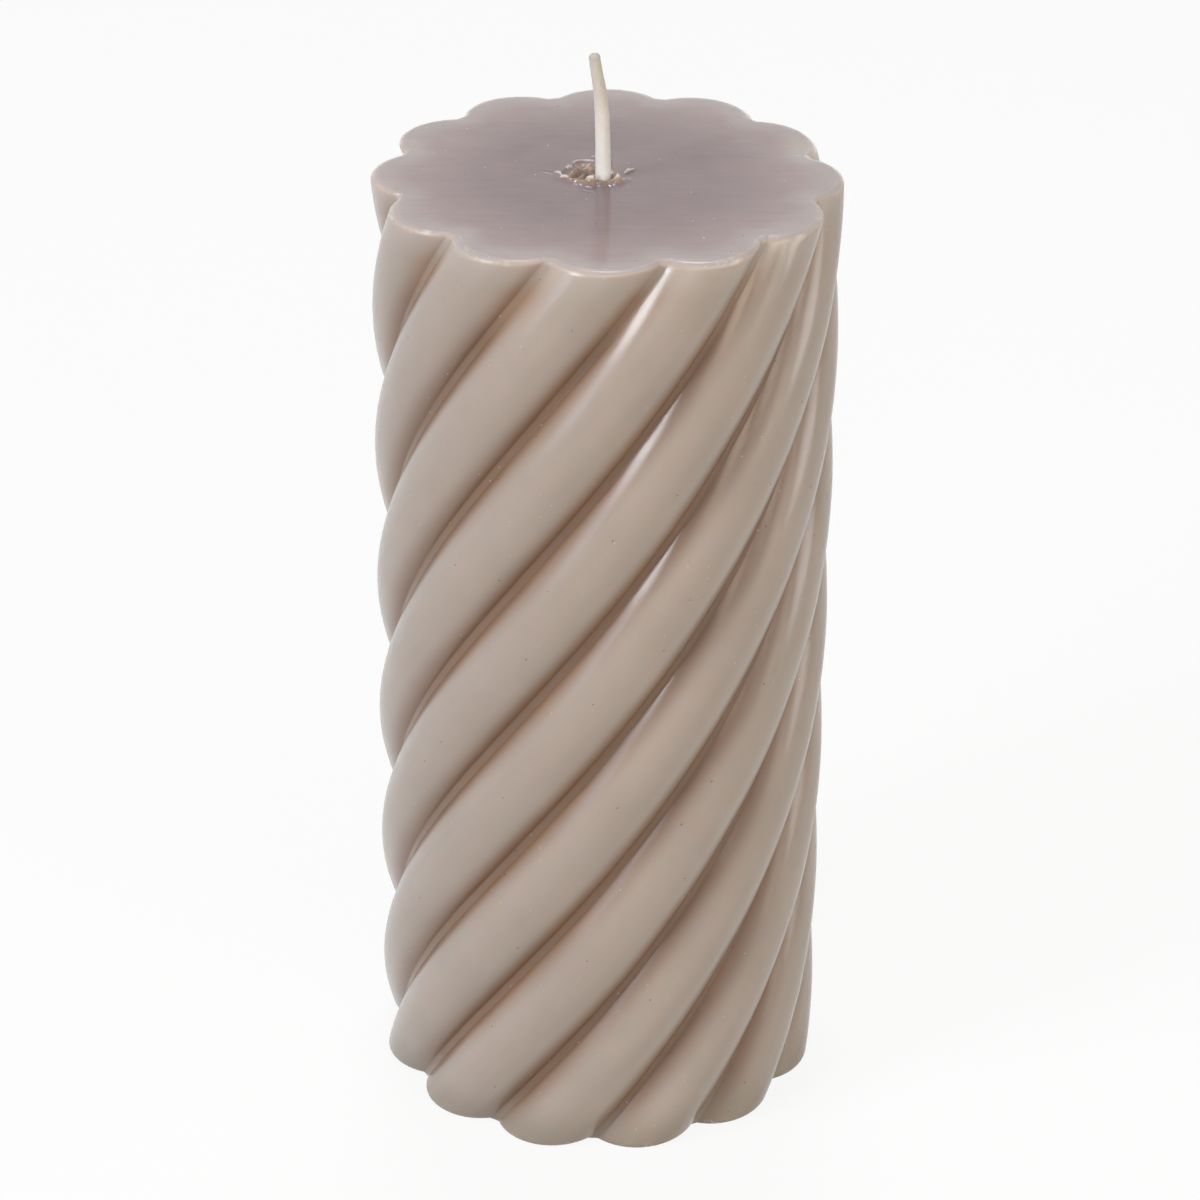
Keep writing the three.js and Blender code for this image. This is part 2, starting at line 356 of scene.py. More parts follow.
@cache
def sweep_tree() -> bpy.types.NodeTree:
    """Tree that sweeps a closed profile round and up the swirl, into one closed skin.

    Each point of the profile has a radius (X), a height (Z), the inset of the lobed outline and
    the lobed share: at 1 the profile's point runs round the lobes, at 0 round a plain circle.

    Returns:
        The geometry tree.
    """
    bench = new_tree("GeometryNodeTree", "lobed sweep", SWEEP_INPUTS, "Geometry")
    given = bench.given
    lobe_steps, valley_steps = given("Lobe Steps"), given("Valley Steps")
    lobe_columns = lobe_steps + valley_steps
    around = given("Lobes") * lobe_columns
    grid, column, level = grid_of(bench, around, given("Levels"))
    read = profile_reader(bench, level.math("FLOORED_MODULO", given("Levels")))
    ring_radius, _, height = bench.parts(read("position"))
    inset, lobed = read("inset"), read("lobed")

    # Round lobes that pass into the fillets between them.
    lobe = (column / lobe_columns).math("FLOOR")
    step = column - lobe * lobe_columns
    pitch = given("Lobes").math("POWER", -1.0) * TURN
    from_top = 1.0 - height / given("Height")
    crest = given("Crest Radius") + given("Draft") * from_top
    lobe_radius, fillet = given("Lobe Radius"), given("Valley Fillet")
    lobe_centre = crest - lobe_radius
    along = lobe_centre * (pitch * 0.5).cos()
    gap = lobe_radius + fillet
    valley_centre = along + (along.squared() - lobe_centre.squared() + gap.squared()).math("SQRT")
    valley_x = valley_centre * (pitch * 0.5).cos()
    valley_y = valley_centre * (pitch * 0.5).sin()
    tangent = valley_y.math("ARCTAN2", valley_x - lobe_centre)
    on_lobe = step.math("LESS_THAN", lobe_steps)
    lobe_angle = tangent * ((step / lobe_steps * 2.0 - 1.0) * (math.pi / 2)).sin()
    lobe_reach, valley_reach = lobe_radius - inset, fillet + inset
    lobe_x = lobe_centre + lobe_reach * lobe_angle.cos()
    lobe_y = lobe_reach * lobe_angle.sin()

    def turned(px: Field, py: Field, angle: Field) -> tuple[Field, Field]:
        """Place in plan, turned about the middle."""
        return px * angle.cos() - py * angle.sin(), px * angle.sin() + py * angle.cos()

    # The fillet is pressed flat into a narrow floor.
    slant = tangent - pitch * 0.5
    swing = slant * (1.0 - (step - lobe_steps) / valley_steps * 2.0)
    sag = slant.cos() + (swing.cos() - slant.cos()) * given("Floor Roundness")
    floor_reach = valley_centre - valley_reach * sag
    floor_x, floor_y = turned(floor_reach, valley_reach * swing.sin() * -1.0, pitch * 0.5)
    x = bench.mix(on_lobe, floor_x, lobe_x)
    y = bench.mix(on_lobe, floor_y, lobe_y)
    own_x, own_y = turned(x, y, lobe * pitch)
    swirl = given("First Lobe") - given("Swirl Turn") * from_top
    outline_x, outline_y = turned(own_x, own_y, swirl)
    ring_angle = (column - lobe_steps * 0.5) / around * TURN + swirl
    centre_x, centre_y, _ = bench.parts(given("Ring Centre"))
    ring_x = centre_x + ring_radius * ring_angle.cos()
    ring_y = centre_y + ring_radius * ring_angle.sin()
    x, y = bench.mix(lobed, ring_x, outline_x), bench.mix(lobed, ring_y, outline_y)
    inputs = {"Geometry": grid, "Position": bench.vector(x, y, height)}
    bent = bench.add("GeometryNodeSetPosition", inputs).outputs[0]

    # What the finishes need to know of each point.
    outline_radius = (own_x.squared() + own_y.squared()).math("SQRT")
    deepest = crest - valley_centre + fillet
    groove = ((crest - outline_radius - inset) / deepest).math("MULTIPLY", lobed, clamp=True)
    strayed = (outline_x - ring_x).squared() + (outline_y - ring_y).squared()
    from_edge = strayed.math("SQRT") * (1.0 - lobed)
    bent = store(bench, bent, "groove", groove)
    bent = store(bench, bent, "from_edge", from_edge)
    bent = store(bench, bent, "lobed_share", lobed)
    bent = store(bench, bent, "unwound", bench.vector(own_x, own_y, height), "FLOAT_VECTOR")

    # The wall swells and sinks a little, but not where it stands on its base.
    spot = bench.add("GeometryNodeInputPosition").outputs[0]
    stray = bench.noise(spot, size=19 * MM, detail=1.0) - 0.5
    share = bench.add("GeometryNodeInputNamedAttribute", {"Name": "lobed_share"}, data_type="FLOAT")
    off_base = bench.ramp(bench.parts(spot)[2], 0.0, 4 * MM)
    stray = stray * given("Unevenness") * bench.out(share) * off_base
    finish_form(bench, bent, seam=1e-7, stray=stray)
    return bench.tree


BRAID_INPUTS = (
    "Geometry", "Sides", "Levels", "Strands", "Braid Pitch", "Braid Relief", "Unevenness", "Finish",
)


def braid_tree() -> bpy.types.NodeTree:
    """Tree that sweeps a braided cord along a line that bends in the XZ plane.

    Each point of the line has a radius, a lean towards -X, its length from the foot and the share
    of the braid that shows through the wax.

    Returns:
        The geometry tree.
    """
    bench = new_tree("GeometryNodeTree", "braided cord", BRAID_INPUTS, "Geometry")
    given = bench.given
    grid, column, level = grid_of(bench, given("Sides"), given("Levels") - 1.0)
    read = profile_reader(bench, level)
    x, y, height = bench.parts(read("position"))
    radius, lean, length, bare = read("radius"), read("lean"), read("length"), read("bare")
    angle = column / given("Sides") * TURN

    # Strands that climb both ways cover one another by turns.
    climb = length / given("Braid Pitch") * TURN
    one_way = (angle * given("Strands") * 0.5 + climb).cos().math("ABSOLUTE")
    other_way = (angle * given("Strands") * 0.5 - climb).cos().math("ABSOLUTE")
    over = bench.ramp((angle * given("Strands") * 0.5).sin() * climb.sin(), -0.35, 0.35)
    weave = bench.mix(over, one_way, other_way)
    reach = radius + given("Braid Relief") * bare * (weave - 0.6)
    across = reach * angle.cos()
    placed = bench.vector(
        x + across * lean.cos(), y + reach * angle.sin(), height + across * lean.sin()
    )
    bent = bench.add("GeometryNodeSetPosition", {"Geometry": grid, "Position": placed}).outputs[0]
    bent = store(bench, bent, "weave", weave)
    bent = store(bench, bent, "bare", bare)
    around = bench.vector(angle, length / radius)
    bent = store(bench, bent, "cord_place", around, "FLOAT_VECTOR")
    spot = bench.add("GeometryNodeInputPosition").outputs[0]
    stray = (bench.noise(spot, size=1.7 * MM, detail=2.0) - 0.5) * given("Unevenness")
    finish_form(bench, bent, seam=1e-6, stray=stray)
    return bench.tree


def profile_mesh(name: str, points: np.ndarray, carried: dict[str, np.ndarray]) -> bpy.types.Mesh:
    """Line of points that carry values.

    Args:
        name: the mesh's name.
        points: their places, one row each.
        carried: the values of each attribute, one for each point.

    Returns:
        The mesh.
    """
    mesh = bpy.data.meshes.new(name)
    mesh.from_pydata(points.tolist(), [(i, i + 1) for i in range(len(points) - 1)], [])
    for label, values in carried.items():
        layer = mesh.attributes.new(label, "FLOAT", "POINT")
        layer.data.foreach_set("value", np.asarray(values, np.float32))
    return mesh


def grow(
    name: str, line: bpy.types.Mesh, tree: bpy.types.NodeTree, values: dict[str, object], crease: float
) -> bpy.types.Object:
    """Runs a geometry tree on a line and keeps the result as a plain mesh.

    Args:
        name: the new piece's name.
        line: the line that the tree sweeps.
        tree: the geometry tree.
        values: what each of its inputs is set to, by name.
        crease: angle between faces, in radians, past which an edge is sharp.

    Returns:
        The piece, with no modifier left on it.
    """
    piece = bpy.data.objects.new(name, line)
    bpy.context.scene.collection.objects.link(piece)
    modifier = piece.modifiers.new("form", "NODES")
    modifier.node_group = tree
    for item in tree.interface.items_tree:
        if item.in_out == "INPUT" and item.name in values:
            modifier[item.identifier] = values[item.name]
    graph = bpy.context.evaluated_depsgraph_get()
    mesh = bpy.data.meshes.new_from_object(
        piece.evaluated_get(graph), preserve_all_data_layers=True, depsgraph=graph
    )
    piece.modifiers.clear()
    piece.data = mesh
    mesh.name = name
    mesh.set_sharp_from_angle(angle=crease)
    return piece


def swept(name: str, rows: np.ndarray, values: dict[str, object]) -> bpy.types.Object:
    """Sweeps a closed profile round the swirl.

    Args:
        name: the new piece's name.
        rows: radius, height, inset and lobed share of each point of the profile.
        values: what the tree's other inputs are set to, by name.

    Returns:
        The piece, with no modifier left on it.
    """
    points = np.column_stack((rows[:, 0], np.zeros(len(rows)), rows[:, 1]))
    line = profile_mesh(name + "_profile", points, {"inset": rows[:, 2], "lobed": rows[:, 3]})
    values = {**values, "Levels": float(len(rows))}
    return grow(name, line, sweep_tree(), values, crease=math.radians(50))


# Finishes and the effects that they share.


def mottle_group() -> bpy.types.NodeTree:
    """Group that makes a tone stray softly round 1, as a dye does in wax or dust on metal.

    Returns:
        The group, whose tone multiplies a colour or a roughness.
    """
    bench = new_tree("ShaderNodeTree", "mottle", ("Vector", "Patch Size", "Amount"), "Tone")
    given = bench.given
    cloud = bench.noise(given("Vector"), given("Patch Size"), 2.0) - 0.5
    bench.add("NodeGroupOutput", {"Tone": cloud * given("Amount") * 2.0 + 1.0})
    return bench.tree


def specks_group() -> bpy.types.NodeTree:
    """Group that masks small round specks, some way apart and not in every place.

    Returns:
        The group, whose mask is 1 in the middle of a speck.
    """
    inputs = ("Vector", "Spacing", "Speck Size", "Share")
    bench = new_tree("ShaderNodeTree", "specks", inputs, "Mask")
    given = bench.given
    frequency = given("Spacing").math("POWER", -1.0)
    cells = bench.add("ShaderNodeTexVoronoi", {"Vector": given("Vector"), "Scale": frequency})
    reach = given("Speck Size") * frequency
    near = (1.0 - bench.out(cells, "Distance") / reach).math("MULTIPLY", 2.0, clamp=True)
    lot = bench.out(bench.add("ShaderNodeSeparateColor", {0: cells.outputs["Color"]}))
    chosen = lot.math("LESS_THAN", given("Share"))
    bench.add("NodeGroupOutput", {"Mask": near * chosen})
    return bench.tree


def scuffs_group() -> bpy.types.NodeTree:
    """Group that masks broken patches of wear where an edge or a rubbed place lets them.

    Returns:
        The group, whose mask is at most 1.
    """
    bench = new_tree("ShaderNodeTree", "scuffs", ("Vector", "Patch Size", "Exposure"), "Mask")
    given = bench.given
    cloud = bench.noise(given("Vector"), given("Patch Size"), 4.0)
    worn = bench.ramp(cloud + given("Exposure") * 0.5, 0.72, 0.9)
    bench.add("NodeGroupOutput", {"Mask": worn * given("Exposure").math("MINIMUM", 1.0)})
    return bench.tree


def grain_group() -> bpy.types.NodeTree:
    """Group that gives the height of a fine grain, drawn out along one axis by a stretch.

    Returns:
        The group, whose height is in millimetres, as its relief is.
    """
    inputs = ("Vector", "Stretch", "Grain Size", "Relief")
    bench = new_tree("ShaderNodeTree", "grain", inputs, "Height")
    given = bench.given
    drawn = bench.scaled(given("Vector"), given("Stretch"))
    cloud = bench.noise(drawn, given("Grain Size"), 3.0) - 0.5
    bench.add("NodeGroupOutput", {"Height": cloud * given("Relief")})
    return bench.tree


class Effects:
    """The shared effects, each built once and placed in any finish.

    Their sizes and reliefs are in millimetres, as are the places that the finishes give them.
    """

    def __init__(self) -> None:
        """Builds the groups."""
        self.groups = {
            "mottle": mottle_group(),
            "specks": specks_group(),
            "scuffs": scuffs_group(),
            "grain": grain_group(),
        }

    def place(self, bench: Bench, name: str, *inputs: Value) -> Field:
        """Puts an effect into a material, fills its inputs in order and gives its one output."""
        filled = dict(enumerate(inputs))
        return bench.out(bench.add("ShaderNodeGroup", filled, node_tree=self.groups[name]))

    def mottle(self, bench: Bench, vector: Value, size: float, amount: float) -> Field:
        """Tone that strays round 1, in patches of about the size given."""
        return self.place(bench, "mottle", vector, size, amount)

    def specks(self, bench: Bench, vector: Value, spacing: float, size: float, share: float) -> Field:
        """Mask of small round specks, which only a share of the places has."""
        return self.place(bench, "specks", vector, spacing, size, share)

    def scuffs(self, bench: Bench, vector: Value, size: float, exposure: Number) -> Field:
        """Mask of broken patches of wear, which grow with the exposure."""
        return self.place(bench, "scuffs", vector, size, exposure)

    def grain(self, bench: Bench, vector: Value, stretch: Value, size: float, relief: float) -> Field:
        """Height of a fine grain, which is drawn out where the stretch is under 1."""
        return self.place(bench, "grain", vector, stretch, size, relief)


def new_material(name: str) -> Bench:
    """Makes a material.

    Args:
        name: its name.

    Returns:
        The bench on its empty node tree.
    """
    material = bpy.data.materials.new(name)
    material.use_nodes = True
    material.node_tree.nodes.clear()
    return Bench(material.node_tree)


def in_millimetres(bench: Bench) -> Field:
    """Object coordinates, in millimetres."""
    place = bench.add("ShaderNodeTexCoord").outputs["Object"]
    return bench.scaled(place, (1 / MM,) * 3)


def attribute(bench: Bench, name: str, key: str = "Fac") -> Field:
    """Attribute of the mesh: "Fac" reads a number and "Vector" a vector."""
    return bench.out(bench.add("ShaderNodeAttribute", attribute_name=name), key)


def surface(bench: Bench, name: str, inputs: dict) -> bpy.types.Material:
    """Ends the named material with one Principled BSDF and gives the material.

    Args:
        bench: the material's bench.
        name: the material's name.
        inputs: what fills the shader's inputs, by name.

    Returns:
        The finished material.
    """
    shader = bench.add("ShaderNodeBsdfPrincipled", inputs)
    bench.add("ShaderNodeOutputMaterial", {"Surface": shader.outputs[0]})
    return bpy.data.materials[name]


@dataclass(frozen=True)
class EdgeBand:
    """Band along the lobed top edge, in millimetres: inwards from the edge, and up the wall."""

    inward: Span
    up: Span

    def mask(self, bench: Bench, from_edge: Field, height: Field) -> Field:
        """1 at the edge, fading to 0 inwards and down the wall."""
        return (1.0 - bench.ramp(from_edge, *self.inward)) * bench.ramp(height, *self.up)


@dataclass(frozen=True)
class WaxFinish:
    """Through-dyed wax: satin on the moulded wall, greyer and streaked on the poured top, where the
    greyer, darker colour is painted shade; painted shade also darkens the grooves and the foot,
    and painted light pales the wall under the rim and the top's border.

    A span says where one look passes into the next, in millimetres: heights above the base, radii
    on the top, or the way from the top's edge. The groove's span is in shares of its depth.
    """

    name: str = "swirl_wax"
    poured: Span = (149.35, 149.9)
    shade_in_groove: Span = (0.16, 1.02)
    groove_lit_from_top: Span = (134.0, 146.0)
    off_base: Span = (0.5, 9.0)
    below_rim: Span = (144.0, 149.2)
    border: Span = (14.0, 34.0)
    off_rim: Span = (0.0, 5.5)
    torn_below: Span = (149.3, 149.9)
    torn_above: Span = (150.02, 150.25)
    scuffed: EdgeBand = EdgeBand((0.0, 1.0), (148.2, 149.6))
    dulled: EdgeBand = EdgeBand((0.0, 1.2), (148.6, 150.0))
    frosted: EdgeBand = EdgeBand((0.2, 1.6), (147.4, 149.0))
    wall: Colour = (0.508, 0.424, 0.364)
    # Painted shade in the grooves. It is lighter near the top, where painted light stands in for light
    # passing through the wax from the top.
    groove: Colour = (0.290, 0.162, 0.092)
    top_groove_shade: Colour = (0.410, 0.260, 0.168)
    # Painted shade towards the foot, where the floor shades the wall.
    foot_shade: Colour = (0.380, 0.315, 0.248)
    # Painted light just under the rim.
    light_under_rim: Colour = (0.550, 0.485, 0.430)
    # Painted shade darkens the top; painted light pales its border and the band along the rim.
    top: Colour = (0.270, 0.193, 0.201)
    lit_top_border: Colour = (0.425, 0.330, 0.318)
    rim: Colour = (0.465, 0.405, 0.395)
    pit: Colour = (0.310, 0.228, 0.180)
    bloom: Colour = (0.780, 0.740, 0.700)
    dirt: Colour = (0.080, 0.050, 0.038)
    wall_roughness: float = 0.22
    top_roughness: float = 0.15
    edge_roughness: float = 0.30
    torn_roughness: float = 0.60
    depth: Colour = (1.0, 0.62, 0.42)
    depth_scale: float = 3.0 * MM

    def colour(self, bench: Bench, effects: Effects, local: Field, place: Field) -> Field:
        """Colour of the wax before wear: its dye, with painted shade in the grooves, towards the foot
        and on the top, and painted light under the rim and along the top's border.

        Args:
            bench: the material's bench.
            effects: the shared effects.
            local: coordinates that follow the lobes, in millimetres.
            place: object coordinates, in millimetres.

        Returns:
            The colour.
        """
        x, y, height = bench.parts(place)
        radius = (x.squared() + y.squared()).math("SQRT")
        from_edge = attribute(bench, "from_edge") / MM
        on_top = bench.ramp(height, *self.poured)
        # Painted shade: the grooves darken to a warm, saturated colour that stands in for the shade deep
        # in them. Painted light lightens it towards the top.
        groove_shading = bench.ramp(attribute(bench, "groove"), *self.shade_in_groove)
        groove_shade = bench.blend(bench.ramp(height, *self.groove_lit_from_top), self.groove, self.top_groove_shade)
        wall = bench.blend(groove_shading, self.wall, groove_shade)
        # Painted shade: the wall darkens and greys towards its foot, where the floor shades it.
        foot_shading = 1.0 - bench.ramp(height, *self.off_base)
        wall = bench.blend(foot_shading * 0.8, wall, self.foot_shade)
        # Painted light: the wall pales just under the rim, standing in for light that passes out of the
        # wax from the top.
        wall = bench.blend(bench.ramp(height, *self.below_rim) * 0.8, wall, self.light_under_rim)
        # Painted shade: the top is darker than the wall, as less light falls on it. Painted light pales
        # it towards its border and along the rim, where light leaks out through the wax's edge.
        top = bench.blend(bench.ramp(radius, *self.border), self.top, self.lit_top_border)
        top = bench.blend(1.0 - bench.ramp(from_edge, *self.off_rim), top, self.rim)
        torn = 1.0 - bench.ramp(height, *self.torn_below) + bench.ramp(height, *self.torn_above)
        torn = bench.ramp(attribute(bench, "broken"), 0.2, 1.0) * torn
        colour = bench.blend(torn, bench.blend(on_top, wall, top), self.pit)

        # Streaks of the pour run along the lobes, and level ones cross the top.
        along = bench.scaled(local, (1.0, 1.0, 0.16))
        across = bench.scaled(place, (0.12, 1.0, 1.0))
        tone = effects.mottle(bench, along, size=5.0, amount=0.08)
        cloud = effects.mottle(bench, place, size=12.0, amount=0.07)
        drawn = effects.mottle(bench, across, size=0.8, amount=0.07)
        return bench.toned(colour, tone * cloud * bench.mix(on_top, 1.0, drawn))

    def material(self, effects: Effects) -> bpy.types.Material:
        """Builds the material.

        Args:
            effects: the shared effects.

        Returns:
            The material.
        """
        bench = new_material(self.name)
        place = in_millimetres(bench)
        height = bench.parts(place)[2]
        unwound = bench.scaled(attribute(bench, "unwound", "Vector"), (1 / MM,) * 3)
        on_wall = bench.ramp(attribute(bench, "lobed_share"), 0.984, 1.0)
        on_top = bench.ramp(height, *self.poured)
        local = bench.blend(on_wall, place, unwound)
        colour = self.colour(bench, effects, local, place)

        # Pale wax on chips and flakes, frosting in patches along both edges, and fine specks.
        from_edge = attribute(bench, "from_edge") / MM
        rim = self.scuffed.mask(bench, from_edge, height)
        foot = 1.0 - bench.ramp(height, 0.2, 3.0)
        patches = bench.ramp(bench.noise(place, size=7.0, detail=1.0), 0.52, 0.62)
        exposure = (rim * 0.5 + foot * 0.62) * patches
        worn = effects.scuffs(bench, place, size=0.8, exposure=exposure)
        pale = (worn * 0.45 + attribute(bench, "chip")).math("MINIMUM", 0.85)
        colour = bench.blend(pale, colour, self.bloom)
        light = effects.specks(bench, place, spacing=1.5, size=0.17, share=0.14)
        dark = effects.specks(bench, local, spacing=1.9, size=0.19, share=0.11)
        frost = effects.specks(bench, place, spacing=0.6, size=0.12, share=0.4)
        frost = frost * self.frosted.mask(bench, from_edge, height)
        frost = frost * bench.ramp(bench.noise(place, size=5.0, detail=1.0), 0.57, 0.63)
        colour = bench.blend(light * 0.45 + frost * 0.8, colour, self.bloom)
        colour = bench.blend(dark * 0.55, colour, self.dirt)

        # Sandy moulded skin on the wall and faint level drag marks on the top.
        skin = effects.grain(bench, local, stretch=(1.0, 1.0, 0.3), size=1.6, relief=0.012)
        sand = effects.grain(bench, place, stretch=(1.0, 1.0, 1.0), size=0.3, relief=0.004)
        drag = effects.grain(bench, place, stretch=(0.16, 1.0, 1.0), size=0.7, relief=0.014)
        relief = bench.mix(on_top, skin + sand, drag) + (light - dark) * 0.02
        satin = effects.mottle(bench, local, size=3.0, amount=0.2)
        roughness = bench.mix(on_top, self.wall_roughness, self.top_roughness) * satin
        edge = self.dulled.mask(bench, from_edge, height)
        roughness = bench.mix(edge, roughness, self.edge_roughness)
        inputs = {
            "Base Color": colour,
            "Roughness": bench.mix(pale, roughness, self.torn_roughness),
            "IOR": 1.5,
            "Subsurface Weight": 1.0,
            "Subsurface Radius": self.depth,
            "Subsurface Scale": self.depth_scale,
            "Normal": bench.bumped(relief),
        }
        return surface(bench, self.name, inputs)


@dataclass(frozen=True)
class CottonFinish:
    """Braided cotton primed with wax: whiter near its foot, beige and greyer towards the tip.

    Its spans are heights above the base, in millimetres, over which a colour sets in.
    """

    name: str = "waxed_wick"
    middle_from: Span = (155.5, 158.0)
    upper_from: Span = (158.5, 165.0)
    tip_from: Span = (167.6, 169.2)
    waxed_roughness: float = 0.42
    bare_roughness: float = 0.62
    foot: Colour = (0.875, 0.850, 0.815)
    middle: Colour = (0.865, 0.812, 0.730)
    upper: Colour = (0.722, 0.658, 0.573)
    tip: Colour = (0.600, 0.550, 0.507)
    # Painted shade between the strands; the specks take this colour too.
    shade: Colour = (0.560, 0.470, 0.360)

    def material(self, effects: Effects) -> bpy.types.Material:
        """Builds the material.

        Args:
            effects: the shared effects.

        Returns:
            The material.
        """
        bench = new_material(self.name)
        place = in_millimetres(bench)
        height = bench.parts(place)[2]
        weave, bare = attribute(bench, "weave"), attribute(bench, "bare")
        cord_place = attribute(bench, "cord_place", "Vector")
        colour = bench.blend(bench.ramp(height, *self.middle_from), self.foot, self.middle)
        colour = bench.blend(bench.ramp(height, *self.upper_from), colour, self.upper)
        colour = bench.blend(bench.ramp(height, *self.tip_from), colour, self.tip)
        colour = bench.toned(colour, effects.mottle(bench, place, size=1.3, amount=0.06))
        # Painted shade: the colour darkens between the braid's strands, where the weave sinks.
        between = (1.0 - bench.ramp(weave, 0.2, 0.8)) * bare * 0.12
        colour = bench.blend(between, colour, self.shade)
        specks = effects.specks(bench, place, spacing=1.9, size=0.16, share=0.4)
        colour = bench.blend(specks * 0.25, colour, self.shade)
        fibres = effects.grain(bench, cord_place, stretch=(9.0, 1.6, 1.0), size=1.0, relief=0.03)
        inputs = {
            "Base Color": colour,
            "Roughness": bench.mix(bare, self.waxed_roughness, self.bare_roughness),
            "IOR": 1.44,
            "Subsurface Weight": 0.4,
            "Subsurface Radius": (1.0, 0.8, 0.6),
            "Subsurface Scale": 0.5 * MM,
            "Normal": bench.bumped(fibres * bare + specks * 0.02),
        }
        return surface(bench, self.name, inputs)


@dataclass(frozen=True)
class TinFinish:
    """Tin-plated steel sheet with rolling marks and dull finger-worn patches."""

    name: str = "tin_plate"
    bright: Colour = (0.640, 0.640, 0.630)
    dull: Colour = (0.470, 0.460, 0.440)
    roughness: float = 0.28

    def material(self, effects: Effects) -> bpy.types.Material:
        """Builds the material.

        Args:
            effects: the shared effects.

        Returns:
            The material.
        """
        bench = new_material(self.name)
        place = in_millimetres(bench)
        worn = effects.scuffs(bench, place, size=1.8, exposure=0.7)
        colour = bench.blend(worn, self.bright, self.dull)
        colour = bench.toned(colour, effects.mottle(bench, place, size=2.5, amount=0.06))
        rolled = effects.grain(bench, place, stretch=(0.05, 6.0, 1.0), size=1.0, relief=0.004)
        inputs = {
            "Base Color": colour,
            "Metallic": 1.0,
            "Roughness": worn * 0.2 + self.roughness,
            "Normal": bench.bumped(rolled),
        }
        return surface(bench, self.name, inputs)


# Forms.


def smooth(share: np.ndarray) -> np.ndarray:
    """Smooth step from 0 to 1 of a share."""
    share = np.clip(share, 0.0, 1.0)
    return share * share * (3.0 - 2.0 * share)


def ripples(points: np.ndarray, size: float, seed: int) -> np.ndarray:
    """Seeded unevenness, the sum of waves in many directions.

    Args:
        points: places, one row each.
        size: the waves' mean length, in the points' unit.
        seed: what fixes the waves' directions.

    Returns:
        A value from about -1 to 1 for each point.
    """
    rng = np.random.default_rng(seed)
    waves = 11
    directions = rng.normal(size=(waves, points.shape[1]))
    directions /= np.linalg.norm(directions, axis=1)[:, None]
    rates = TURN / (size * rng.uniform(0.7, 1.6, waves))
    phases = rng.uniform(0, TURN, waves)
    return np.sin(points @ directions.T * rates + phases).sum(1) / math.sqrt(waves)


def along_segment(
    points: np.ndarray, a: np.ndarray, b: np.ndarray
) -> tuple[np.ndarray, np.ndarray, np.ndarray]:
    """Where points lie against a segment, in plan.

    Args:
        points: places in plan, one row each.
        a: the segment's start.
        b: its end.

    Returns:
        Each point's distance, its share along the segment, and its side: 1 on the left.
    """
    run = b - a
    share = np.clip(((points - a) @ run) / (run @ run), 0.0, 1.0)
    away = points - (a + share[:, None] * run)
    side = np.sign(run[0] * (points[:, 1] - a[1]) - run[1] * (points[:, 0] - a[0]))
    return np.hypot(away[:, 0], away[:, 1]), share, side


class Broken(Enum):
    """How a piece of broken wax stands on the top face."""

    LIP = "lip"
    FOLD = "fold"
    FLAKE = "flake"
    SCORE = "score"


@dataclass(frozen=True)
class Ridge:
    """Line of raised or scored wax, in millimetres.

    Each of its points has a place in plan and a height over the flat top, which is under 0 where
    the wax is scored. Left and right say how far the line falls away to either side.
    """

    kind: Broken
    line: tuple[tuple[float, float, float], ...]
    left: float
    right: float

    def height_at(self, points: np.ndarray) -> np.ndarray:
        """Height that the line adds.

        Args:
            points: places in plan, one row each, in millimetres.

        Returns:
            The height at each point, in millimetres.
        """
        best = np.zeros(len(points))
        line = np.asarray(self.line)
        for start, end in zip(line[:-1], line[1:]):
            distance, share, side = along_segment(points, start[:2], end[:2])
            crest = start[2] + (end[2] - start[2]) * share
            width = np.where(side > 0, self.left, self.right)
            raised = crest * (1.0 - smooth(distance / width))
            best = np.where(np.abs(raised) > np.abs(best), raised, best)
        return best


